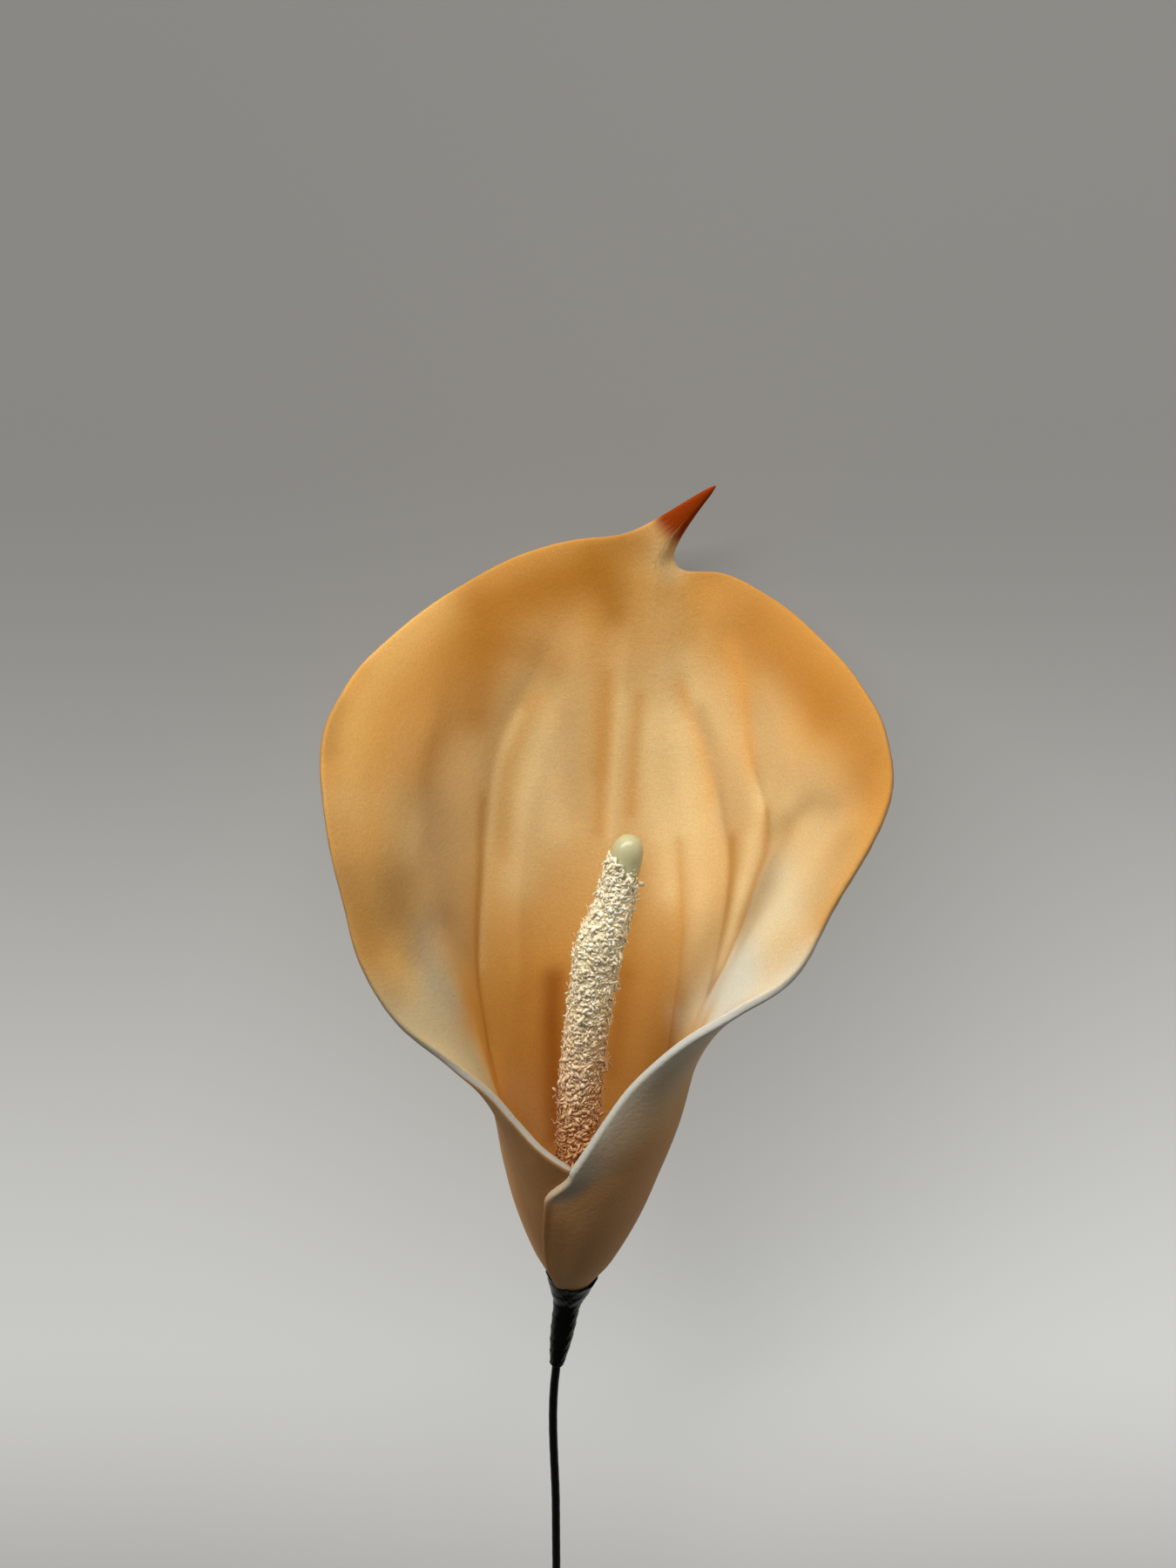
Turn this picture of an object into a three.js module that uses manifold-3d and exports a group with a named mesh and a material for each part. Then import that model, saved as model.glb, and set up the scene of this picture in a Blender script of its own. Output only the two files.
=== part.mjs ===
// An artificial calla lily flower of foam sheet on a coated wire, lying on its back on a table.
//
// The flower's own frame, in millimetres: Y runs from the cut end of the wire to the tail of the bloom,
// Z comes out of the open front, X is to the right of someone who looks into it, and the origin is where
// the foam leaves the tape. The whole flower is then turned about X, so that its two curled shoulders
// and the wire's cut end touch the table.
import * as THREE from "three";
import { mergeVertices } from "three/addons/utils/BufferGeometryUtils.js";
import Module from "manifold-3d";

const wasm = await Module();
wasm.setup();

// Foam sheet of the bloom
const SHEET = 2.0;            // thickness of the foam
const FOOT_SHEET = 0.8;       // thickness where the tape squeezes it
const SQUEEZED_TO = 12;       // height at which the foam has its full thickness
const TAIL_SHEET = 0.9;       // thickness at the tip of the tail
const FOOT_Y = -2;            // the foam's lower end, inside the tape
const LEAN = 0.072;           // the funnel leans to the right by this much for each mm of height

// Radius of the funnel at a height, to the middle of the sheet
const FUNNEL = [
  [-2, 2.4], [0, 3.0], [5, 5.2], [10, 7.7], [15, 9.9], [25, 13.6], [35, 16.3], [50, 19.6],
  [65, 22.2], [80, 25],
  [110, 31], [140, 36], [175, 40],
];

// Round the rim, from the front by the left side and the back to the front again: degrees from the back,
// radius, height, how far the rim curls over and comes down again, and how late the flare sets in
const RIM = [
  [-180, 20.0, 45.0, 0.0, 3.0],
  [-160, 21.5, 50.0, 0.0, 3.0],
  [-143, 23.2, 56.0, 0.3, 3.5],
  [-128, 27.5, 63.5, 0.8, 5.0],
  [-118, 34.5, 70.0, 2.0, 6.5],
  [-109, 44.5, 79.5, 3.5, 6.5],
  [-99, 53.0, 96.0, 4.0, 5.5],
  [-91, 58.0, 114.0, 5.0, 4.5],
  [-82, 61.5, 130.0, 6.0, 4.0],
  [-70, 61.0, 139.5, 7.0, 4.0],
  [-55, 59.5, 146.0, 8.0, 4.0],
  [-38, 57.5, 153.0, 8.0, 4.0],
  [-24, 53.5, 159.5, 6.0, 4.0],
  [-10, 48.5, 163.0, 4.0, 4.0],
  [5, 46.0, 160.0, 3.0, 4.0],
  [15, 47.0, 157.0, 4.0, 4.0],
  [25, 53.0, 155.5, 6.0, 4.0],
  [37, 56.5, 150.5, 8.0, 4.0],
  [52, 56.3, 145.0, 8.0, 4.0],
  [68, 56.0, 140.0, 7.0, 4.0],
  [80, 57.5, 133.5, 6.0, 4.0],
  [88, 58.0, 125.0, 5.0, 4.5],
  [95, 54.5, 116.0, 4.0, 5.5],
  [102, 48.5, 104.0, 4.0, 6.5],
  [110, 44.0, 92.0, 4.0, 7.0],
  [120, 35.5, 85.0, 3.0, 6.5],
  [132, 28.5, 79.0, 1.5, 5.0],
  [145, 23.0, 70.0, 0.5, 4.0],
  [160, 20.5, 60.0, 0.0, 3.0],
  [180, 20.0, 45.5, 0.0, 3.0],
];
const CURL_FROM = 0.72;       // share of the way to the rim at which it starts to curl

// The two flaps of the sheet lap over each other below the V at the front, the right one outside
const V_Y = 45;               // height of the V
const FRONT_TURN = 8;         // degrees by which the V lies left of the front
const LAP_DEG = 38;           // degrees that each flap runs past the other at the foot
const LAP_FADE = 45;          // height over which the lap narrows
const LAP_GAP = 0.3;          // between the two flaps

// Pleats of the wall: how far they stand out of it (in is minus), half their width in degrees, and their
// course as heights and degrees from the back
const PLEATS = [
  {
    depth: 1.5,
    width: 8,
    course: [[48, -77], [64, -73.5], [76, -69.5], [86, -61], [96, -52.5], [106, -46.5], [121, -37],
      [137, -21.5], [151, -14.5]],
  },
  { depth: -0.8, width: 7, course: [[60, -46], [79, -43], [98, -36], [117, -25], [135, -13], [150, -8]] },
  {
    depth: 1.3,
    width: 5,
    course: [[60, 78], [70, 75.2], [77, 72.5], [88, 66.5], [97, 59], [108, 46], [115, 37.5], [121, 32],
      [126, 26.5], [140, 19.5]],
  },
  {
    depth: 1.2,
    width: 4.5,
    course: [[68, 78.5], [80, 79.5], [88, 79], [98, 74.5], [108, 68.5], [113, 62.5], [119, 51], [130, 39.5],
      [138, 32.5], [148, 26]],
  },
  { depth: 1.2, width: 6, course: [[95, 74], [103, 73], [108, 73.5], [113, 75.5], [118, 79], [126, 85]] },
  {
    depth: 0.7,
    width: 4,
    course: [[46, 63], [62, 56], [72, 51], [82, 45], [91, 38], [100, 32], [110, 27], [122, 21]],
  },
  {
    depth: -1.3,
    width: 8,
    course: [[90, -97], [100, -92], [106, -86], [112, -78], [121, -70], [131, -57], [142, -48]],
  },
  { depth: -0.5, width: 3.5, course: [[60, 5], [100, 4.5], [124, 3.8], [138, 4.2], [150, 5]] },
];
const PLEAT_BLUNT = 0.3;      // how blunt the line of a fold is
const PLEAT_FADE = 14;        // height over which a pleat starts and ends

// The tail is a pull on the rim, up and then to the right
const TAIL_AT = 9.4;          // degrees from the back
const TAIL_RISE = 18.7;
const TAIL_RIGHT = 12.2;
const TAIL_FORWARD = 4;
const TAIL_BEND_FROM = 160;   // height at which it starts to bend
const TAIL_BEND_POWER = 1.2;
const TAIL_TOP = 178.7;       // height of its tip
const TAIL_LEFT_DEG = 5;      // half its width on each side
const TAIL_RIGHT_DEG = 1.6;
const TAIL_BLUNT = 0.59;      // how blunt its tip is
const TAIL_SPREAD = 7;        // degrees by which it is wider where the pull starts
const TAIL_FROM = 0.8;        // share of the way to the rim at which the pull starts
const TAIL_BEND_DEG = 14;     // the bend reaches this far round the rim

// Spadix: a translucent stick, rounded at its tip, with crushed flakes glued round it
const SPADIX_COURSE = [
  [0.9, 12.5, 0], [1.8, 40, 0.5], [3.2, 62, 0.5], [6.0, 83, 0], [10.6, 102, -1.5], [13.4, 113.6, -3.3],
];
const CORE_R = 4.1;
const CORE_TOP_R = 3.4;       // next to the rounded tip
const CORE_NARROWS = 0.6;     // share of its length from which it narrows
const CORE_TIP = 4.5;         // length of the rounded tip
const FLAKES_FROM = 0.02;     // share of the spadix's length where the flakes start and end
const FLAKES_TO = 0.94;
const FLAKE_COAT = 0.6;       // thickness of the coat that the flakes stand in
const FLAKE_COUNT = 230;
const FLAKE_LONG = 2.3;
const FLAKE_WIDE = 1.1;
const FLAKE_OUT = 0.9;
const GOLDEN_ANGLE = 2.399963;

// Wire stem, tape and glue
const WIRE_R = 1.0;
const WIRE_END = -155;        // its cut end
const WIRE_TOP = 30;          // its upper end, inside the spadix
const STEM_X = -3.6;          // where the wire hangs below the tape
const TAPE_TOP = 3.2;         // the tape's rim, round the foam
const TAPE_END = -22.5;
const TAPE_LEAN_DEG = 8;      // the tape leans left going down
const TAPE_WALL = 0.5;
const TAPE_OUTLINE = [
  [TAPE_TOP, 6.8], [2, 6.1], [0, 5.1], [-2, 4.4], [-4, 3.4], [-6, 3.1], [-11, 2.85], [-16, 2.4], [-20, 1.95],
  [TAPE_END, 1.75],
];
const GLUE = { from: 2.6, to: 11.9 };

const GAP = 0.3;              // between pieces that touch
const REST_TILT = 8.5;        // degrees by which the head is raised above the table

const SPATHE_ROWS = 25;
const WIDEST_STEP = 6;        // degrees between the sheet's columns, away from the tail
const FIRST_STEP = 0.8;       // and next to the tail's tip
const STEP_GROWTH = 1.22;

const radians = THREE.MathUtils.degToRad;
const clamp = THREE.MathUtils.clamp;
const smooth = (x) => THREE.MathUtils.smoothstep(x, 0, 1);

// A smooth curve through the points: cubic Hermite pieces whose slopes come from the points on both sides
function through(points, x, column = 1) {
  const n = points.length;
  const slope = (i) => {
    if (i === 0) return (points[1][column] - points[0][column]) / (points[1][0] - points[0][0]);
    if (i === n - 1) return (points[i][column] - points[i - 1][column]) / (points[i][0] - points[i - 1][0]);
    const before = points[i][0] - points[i - 1][0];
    const after = points[i + 1][0] - points[i][0];
    const rise = (points[i][column] - points[i - 1][column]) / before;
    const next = (points[i + 1][column] - points[i][column]) / after;
    return (rise * after + next * before) / (before + after);
  };
  const at = clamp(x, points[0][0], points[n - 1][0]);
  let i = 0;
  while (i < n - 2 && at >= points[i + 1][0]) i++;
  const h = points[i + 1][0] - points[i][0];
  const u = (at - points[i][0]) / h;
  return (2 * u ** 3 - 3 * u ** 2 + 1) * points[i][column] + (u ** 3 - 2 * u ** 2 + u) * h * slope(i)
    + (3 * u ** 2 - 2 * u ** 3) * points[i + 1][column] + (u ** 3 - u ** 2) * h * slope(i + 1);
}

// A peak of height 1 that falls away as a tent does, with a rounded top
const peak = (x, blunt) => Math.exp(blunt - Math.hypot(x, blunt));

// The tail's share of the pull at an angle and a share of the way to the rim
function tailPull(phi, t) {
  const off = phi - TAIL_AT;
  const rise = clamp((t - TAIL_FROM) / (1 - TAIL_FROM), 0, 1);
  const width = (off < 0 ? TAIL_LEFT_DEG : TAIL_RIGHT_DEG) + TAIL_SPREAD * (1 - rise);
  return peak(off / width, TAIL_BLUNT) * rise ** 2;
}

function sheetThickness(phi, t, y) {
  const foot = FOOT_SHEET + (SHEET - FOOT_SHEET) * smooth((y - FOOT_Y) / (SQUEEZED_TO - FOOT_Y));
  return foot - (SHEET - TAIL_SHEET) * tailPull(phi, t);
}

// The middle of the foam sheet: phi in degrees from the back, t from the foot to the rim
function sheetPoint(phi, t) {
  const rimRadius = through(RIM, phi, 1);
  const curl = through(RIM, phi, 3);
  const top = through(RIM, phi, 2) + curl;
  const line = FOOT_Y + (top - FOOT_Y) * t;
  let y = line - curl * clamp((t - CURL_FROM) / (1 - CURL_FROM), 0, 1) ** 2;
  let radius = through(FUNNEL, line) + (rimRadius - through(FUNNEL, top)) * t ** through(RIM, phi, 4);
  for (const { depth, width, course } of PLEATS) {
    const window = smooth((y - course[0][0]) / PLEAT_FADE) * smooth((course.at(-1)[0] - y) / PLEAT_FADE);
    radius += depth * window * peak((phi - through(course, y)) / width, PLEAT_BLUNT);
  }
  const front = smooth((Math.abs(phi) - 75) / 35);
  const lap = LAP_DEG * Math.exp(-Math.max(y, 0) / LAP_FADE) * smooth((V_Y - y) / 10);
  const turn = radians(phi * (1 + lap / 180) + FRONT_TURN * smooth((Math.abs(phi) - 95) / 60));
  const apart = (sheetThickness(phi, t, y) + LAP_GAP) / 2;
  radius += Math.sign(phi) * apart * front * smooth((V_Y + 22 - y) / 20);
  y += TAIL_RISE * tailPull(phi, t);
  const bend = Math.max(0, (y - TAIL_BEND_FROM) / (TAIL_TOP - TAIL_BEND_FROM)) ** TAIL_BEND_POWER
    * Math.exp(-(((phi - TAIL_AT) / TAIL_BEND_DEG) ** 2));
  return new THREE.Vector3(
    LEAN * y + radius * Math.sin(turn) + TAIL_RIGHT * bend,
    y,
    -radius * Math.cos(turn) + TAIL_FORWARD * bend,
  );
}

// The sheet's direction outwards, square to it
function sheetNormal(phi, t) {
  const round = sheetPoint(Math.min(phi + 0.3, 180), t).sub(sheetPoint(Math.max(phi - 0.3, -180), t));
  const up = sheetPoint(phi, Math.min(t + 0.003, 1)).sub(sheetPoint(phi, Math.max(t - 0.003, 0)));
  return up.cross(round).normalize();
}

// Angles of the sheet's columns, close together at the tail and wider apart with the distance from it
function sheetColumns() {
  const side = (span) => {
    const steps = [0];
    for (let step = FIRST_STEP; steps.at(-1) < span; step = Math.min(step * STEP_GROWTH, WIDEST_STEP)) {
      steps.push(steps.at(-1) + step);
    }
    return steps.map((s) => (s * span) / steps.at(-1));
  };
  const left = side(180 + TAIL_AT).map((s) => TAIL_AT - s).reverse();
  const right = side(180 - TAIL_AT).map((s) => TAIL_AT + s);
  return [...left, ...right.slice(1)];
}

function meshGeometry(positions, indices) {
  const geometry = new THREE.BufferGeometry();
  geometry.setAttribute("position", new THREE.Float32BufferAttribute(positions, 3));
  geometry.setIndex(indices);
  return geometry;
}

// The bloom: the sheet's outer and inner face, split alike, and the cut edge all round
function spatheGeometry() {
  const columns = sheetColumns();
  const rows = SPATHE_ROWS + 1;
  const positions = [];
  for (const side of [1, -1]) {
    for (const phi of columns) {
      for (let j = 0; j < rows; j++) {
        const t = j / SPATHE_ROWS;
        const middle = sheetPoint(phi, t);
        const half = sheetThickness(phi, t, middle.y) / 2;
        positions.push(...middle.addScaledVector(sheetNormal(phi, t), side * half).toArray());
      }
    }
  }
  const inner = columns.length * rows;
  const indices = [];
  const quad = (a, b, c, d) => indices.push(a, b, c, a, c, d);
  for (let i = 0; i < columns.length - 1; i++) {
    for (let j = 0; j < SPATHE_ROWS; j++) {
      const a = i * rows + j;
      const b = a + rows;
      indices.push(a, a + 1, b, b, a + 1, b + 1);
      indices.push(inner + a, inner + b, inner + a + 1, inner + b, inner + b + 1, inner + a + 1);
    }
    const foot = i * rows;
    const rim = foot + SPATHE_ROWS;
    quad(foot, foot + rows, inner + foot + rows, inner + foot);
    quad(rim + rows, rim, inner + rim, inner + rim + rows);
  }
  const last = (columns.length - 1) * rows;
  for (let j = 0; j < SPATHE_ROWS; j++) {
    quad(j + 1, j, inner + j, inner + j + 1);
    quad(last + j, last + j + 1, inner + last + j + 1, inner + last + j);
  }
  return meshGeometry(positions, indices);
}

// A closed body of round sections along a curve. Each ring is [share of the curve, radius, mm along its
// direction there], and the rings run up the outside and, round a bore, down the inside again.
function turnedAlong(curve, rings, sides) {
  const positions = [];
  const indices = [];
  const bored = rings[0][1] > 0;
  rings.forEach(([share, radius, along = 0]) => {
    const centre = curve.getPointAt(share);
    const tangent = curve.getTangentAt(share);
    centre.addScaledVector(tangent, along);
    const across = new THREE.Vector3(0, 0, 1).cross(tangent).normalize();
    const other = tangent.clone().cross(across);
    const count = radius > 0 ? sides : 1;
    for (let k = 0; k < count; k++) {
      const turn = (k / sides) * 2 * Math.PI;
      const point = centre.clone().addScaledVector(across, radius * Math.cos(turn));
      positions.push(...point.addScaledVector(other, radius * Math.sin(turn)).toArray());
    }
  });
  const starts = [];
  rings.reduce((start, [, radius]) => (starts.push(start), start + (radius > 0 ? sides : 1)), 0);
  const pairs = rings.map((_, i) => [i, i + 1]).slice(0, -1);
  if (bored) pairs.push([rings.length - 1, 0]);
  for (const [i, j] of pairs) {
    for (let k = 0; k < sides; k++) {
      const l = (k + 1) % sides;
      const [a, b] = rings[i][1] > 0 ? [starts[i] + k, starts[i] + l] : [starts[i], starts[i]];
      const [c, d] = rings[j][1] > 0 ? [starts[j] + k, starts[j] + l] : [starts[j], starts[j]];
      if (a !== b) indices.push(a, b, d);
      if (c !== d) indices.push(a, d, c);
    }
  }
  return meshGeometry(positions, indices);
}

const spadixPoints = SPADIX_COURSE.map((p) => new THREE.Vector3(...p));
const spadixCurve = new THREE.CatmullRomCurve3(spadixPoints, false, "centripetal");
const spadixLength = spadixCurve.getLength();
const coreRadius = (share) =>
  CORE_R - (CORE_R - CORE_TOP_R) * smooth((share - CORE_NARROWS) / (1 - CORE_NARROWS));

// The stick: a flat foot with a blind hole for the wire, and a rounded tip
function coreGeometry() {
  const hole = WIRE_R + GAP;
  const depth = (WIRE_TOP + GAP - SPADIX_COURSE[0][1]) / spadixLength;
  const rings = [[depth, 0], [depth, hole], [depth / 2, hole], [0, hole], [0, CORE_R]];
  const tipStart = 1 - CORE_TIP / spadixLength;
  const shaftRings = 9;
  for (let i = 1; i <= shaftRings; i++) {
    rings.push([(tipStart * i) / shaftRings, coreRadius((tipStart * i) / shaftRings)]);
  }
  for (const turn of [25, 45, 62, 77]) {
    const along = tipStart + (1 - tipStart) * Math.sin(radians(turn));
    rings.push([along, CORE_TOP_R * Math.cos(radians(turn)) ** 0.8]);
  }
  rings.push([1, 0]);
  return turnedAlong(spadixCurve, rings, 20);
}

// A repeatable stream of numbers between 0 and 1
function randomStream(seed) {
  let state = seed;
  return () => {
    state = (Math.imul(state, 1664525) + 1013904223) >>> 0;
    return state / 4294967296;
  };
}

function asSolid(geometry) {
  const bare = geometry.clone();
  bare.deleteAttribute("normal");
  bare.deleteAttribute("uv");
  const merged = mergeVertices(bare, 1e-5);
  return new wasm.Manifold(new wasm.Mesh({
    numProp: 3,
    vertProperties: new Float32Array(merged.attributes.position.array),
    triVerts: new Uint32Array(merged.index.array),
  }));
}

function asGeometry(solid) {
  const { vertProperties, triVerts } = solid.getMesh();
  return meshGeometry(vertProperties, Array.from(triVerts));
}

// The coat of flakes: a thin sleeve round the stick, and wedge-shaped flakes that stand out of it at every
// angle
function flakesGeometry() {
  const inner = (share) => coreRadius(share) + GAP;
  const rings = [];
  const sleeveRings = 12;
  const sleeveShare = (i) => FLAKES_FROM + ((FLAKES_TO - FLAKES_FROM) * i) / sleeveRings;
  for (let i = 0; i <= sleeveRings; i++) rings.push([sleeveShare(i), inner(sleeveShare(i)) + FLAKE_COAT]);
  for (let i = sleeveRings; i >= 0; i--) rings.push([sleeveShare(i), inner(sleeveShare(i))]);
  const coat = asSolid(turnedAlong(spadixCurve, rings, 16));
  const random = randomStream(7);
  const wedges = [];
  for (let i = 0; i < FLAKE_COUNT; i++) {
    const share =
      FLAKES_FROM + 0.015 + (FLAKES_TO - FLAKES_FROM - 0.03) * ((i + random() * 0.8) / FLAKE_COUNT);
    const turn = i * GOLDEN_ANGLE + random() * 0.9;
    const centre = spadixCurve.getPointAt(share);
    const tangent = spadixCurve.getTangentAt(share);
    const across = new THREE.Vector3(0, 0, 1).cross(tangent).normalize();
    const other = tangent.clone().cross(across);
    const out = across.multiplyScalar(Math.cos(turn)).addScaledVector(other, Math.sin(turn));
    const swing = (random() - 0.5) * 2.2;
    const long = tangent.clone().applyAxisAngle(out, swing);
    long.multiplyScalar(FLAKE_LONG * (0.7 + 0.6 * random()));
    const wide = out.clone().cross(long).normalize();
    wide.multiplyScalar((FLAKE_WIDE * (0.7 + 0.6 * random())) / 2);
    const foot = centre.clone().addScaledVector(out, inner(share) + FLAKE_COAT / 2);
    const standOut = FLAKE_COAT / 2 + FLAKE_OUT * (0.5 + 0.8 * random());
    const tip = foot.clone().add(long).addScaledVector(out, standOut);
    const root = [
      foot.clone().sub(wide),
      foot.clone().add(wide),
      foot.clone().addScaledVector(out, FLAKE_COAT * 1.2).addScaledVector(long, -0.1),
    ];
    wedges.push(wedgeSolid(root, tip, wide));
  }
  return asGeometry(wasm.Manifold.union([coat, ...wedges]));
}

// A flake: a triangle at its root, and a short edge at its tip
function wedgeSolid(root, tip, wide) {
  const corners = [...root, tip.clone().addScaledVector(wide, -0.5), tip.clone().addScaledVector(wide, 0.5)];
  const places = corners.flatMap((p) => p.toArray());
  const faces = [0, 2, 1, 0, 1, 4, 0, 4, 3, 1, 2, 4, 2, 3, 4, 2, 0, 3];
  const solid = asSolid(meshGeometry(places, faces));
  return solid.volume() > 0 ? solid : asSolid(meshGeometry(places, faces.slice().reverse()));
}

const tapeAxis = new THREE.LineCurve3(
  new THREE.Vector3(0.5 + (TAPE_END - TAPE_TOP) * Math.tan(radians(TAPE_LEAN_DEG)), TAPE_END, 0),
  new THREE.Vector3(0.5, TAPE_TOP, 0),
);

// The wire: from its cut end up to the tape, along the tape's lean, and up into the spadix
function wireCurve(endZ) {
  const tapeFoot = tapeAxis.getPointAt(0);
  const tapeMiddle = tapeAxis.getPointAt(0.55);
  return new THREE.CatmullRomCurve3([
    new THREE.Vector3(STEM_X, WIRE_END, endZ),
    new THREE.Vector3(STEM_X, (WIRE_END * 2 + TAPE_END) / 3, endZ * 0.45),
    new THREE.Vector3(STEM_X, (WIRE_END + TAPE_END * 2) / 3, endZ * 0.1),
    new THREE.Vector3(STEM_X, TAPE_END - 5, 0),
    tapeFoot,
    tapeMiddle,
    new THREE.Vector3(0.25, TAPE_TOP, 0),
    new THREE.Vector3(0.9, SPADIX_COURSE[0][1], 0),
    spadixCurve.getPointAt((WIRE_TOP - SPADIX_COURSE[0][1]) / spadixLength),
  ], false, "centripetal");
}

function wireGeometry(endZ) {
  const curve = wireCurve(endZ);
  const steps = 40;
  const rings = [[0, 0]];
  for (let i = 0; i <= steps; i++) rings.push([i / steps, WIRE_R]);
  rings.push([1, 0]);
  return turnedAlong(curve, rings, 10);
}

// The tape: wound round the foam's foot and down the wire, with a bore that clears both
function tapeGeometry() {
  const length = tapeAxis.getLength();
  const share = (y) => clamp((y - TAPE_END) / (TAPE_TOP - TAPE_END), 0, 1);
  const rings = TAPE_OUTLINE.map(([y, radius]) => [share(y), radius]).reverse();
  const bore = TAPE_OUTLINE.map(([y, radius]) => {
    const clearOfWire = WIRE_R + GAP;
    return [share(y), y < FOOT_Y - 1 ? clearOfWire : radius - TAPE_WALL];
  });
  return turnedAlong(tapeAxis, [...rings, ...bore], 24);
}

// The glue in the foot, which holds the sheet, the wire and the spadix together
function glueGeometry() {
  const axisPoint = (y) => new THREE.Vector3(LEAN * y, y, 0);
  const axis = new THREE.LineCurve3(axisPoint(GLUE.from), axisPoint(GLUE.to));
  const bore = WIRE_R + GAP + 0.15;
  const steps = 5;
  const outside = [];
  for (let i = 0; i <= steps; i++) {
    const y = GLUE.from + ((GLUE.to - GLUE.from) * i) / steps;
    const sheet = sheetThickness(0, 0.1, y);
    outside.push([i / steps, through(FUNNEL, y) - sheet - LAP_GAP / 2 - GAP]);
  }
  return turnedAlong(axis, [...outside, [1, bore], [0, bore]], 20);
}

function material(color, roughness, metalness = 0) {
  return new THREE.MeshStandardMaterial({ color, roughness, metalness });
}

function piece(name, geometry, look) {
  const mesh = new THREE.Mesh(geometry, look);
  mesh.name = name;
  return mesh;
}

// Height above the table of the lowest point of a geometry in the flower's own frame, before it is set down
function lowest(geometry) {
  const places = geometry.attributes.position;
  let low = Infinity;
  for (let i = 0; i < places.count; i++) {
    const height =
      places.getY(i) * Math.sin(radians(REST_TILT)) + places.getZ(i) * Math.cos(radians(REST_TILT));
    low = Math.min(low, height);
  }
  return low;
}

const bloom = spatheGeometry();
// the wire is bent until its cut end lies as low as the bloom's shoulders
const wireEndZ =
  WIRE_R + (lowest(bloom) - WIRE_END * Math.sin(radians(REST_TILT))) / Math.cos(radians(REST_TILT));

const flower = new THREE.Group();
flower.add(
  piece("spathe", bloom, material(0xe0ac66, 0.75)),
  piece("spadix_core", coreGeometry(), material(0xd6dcae, 0.35)),
  piece("spadix_flakes", flakesGeometry(), material(0xf3e9d2, 0.6)),
  piece("tape_wrap", tapeGeometry(), material(0x11150f, 0.35)),
  piece("stem_wire", wireGeometry(wireEndZ), material(0x1c211a, 0.5)),
  piece("glue_plug", glueGeometry(), material(0xd9d3bd, 0.5)),
);
flower.rotation.x = radians(REST_TILT);

const group = new THREE.Group();
group.add(flower);
group.updateMatrixWorld(true);
const box = new THREE.Box3().setFromObject(group, true);
const middle = box.getCenter(new THREE.Vector3());
flower.position.set(-middle.x, -middle.y, -box.min.z);

export default group;
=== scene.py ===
"""Looks of an artificial calla lily flower that lies on its back on a table.

Shapes are worked out in the flower's own frame, in millimetres, and then placed in the part's frame, in
metres. In the flower's frame Y runs from the wire's cut end to the tail of the bloom, Z comes out of the
open front, X is to the right of someone who looks into the bloom, and the origin is where the foam leaves
the tape.
"""
import math

import bpy
import numpy as np
from mathutils import Matrix, Vector


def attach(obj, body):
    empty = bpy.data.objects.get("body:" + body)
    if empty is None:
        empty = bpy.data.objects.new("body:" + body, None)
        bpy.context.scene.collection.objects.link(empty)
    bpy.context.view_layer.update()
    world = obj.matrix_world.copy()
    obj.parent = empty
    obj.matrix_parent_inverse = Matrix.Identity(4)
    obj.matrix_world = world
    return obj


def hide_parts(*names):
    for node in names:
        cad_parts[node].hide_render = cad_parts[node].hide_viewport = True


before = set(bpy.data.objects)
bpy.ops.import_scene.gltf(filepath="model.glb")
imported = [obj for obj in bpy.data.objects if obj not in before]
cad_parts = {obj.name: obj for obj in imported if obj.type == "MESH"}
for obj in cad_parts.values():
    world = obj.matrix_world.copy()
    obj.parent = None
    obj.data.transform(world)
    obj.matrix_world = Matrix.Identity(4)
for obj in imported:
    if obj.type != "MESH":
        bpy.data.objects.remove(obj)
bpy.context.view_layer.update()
BODY = "root"

# The foam sheet of the bloom, as in the part's source
SHEET = 2.0
FOOT_SHEET = 0.8
SQUEEZED_TO = 12.0
TAIL_SHEET = 0.9
FOOT_Y = -2.0
LEAN = 0.072
FUNNEL = [
    (-2, 2.4), (0, 3.0), (5, 5.2), (10, 7.7), (15, 9.9), (25, 13.6), (35, 16.3), (50, 19.6), (65, 22.2),
    (80, 25), (110, 31), (140, 36), (175, 40),
]
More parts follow.
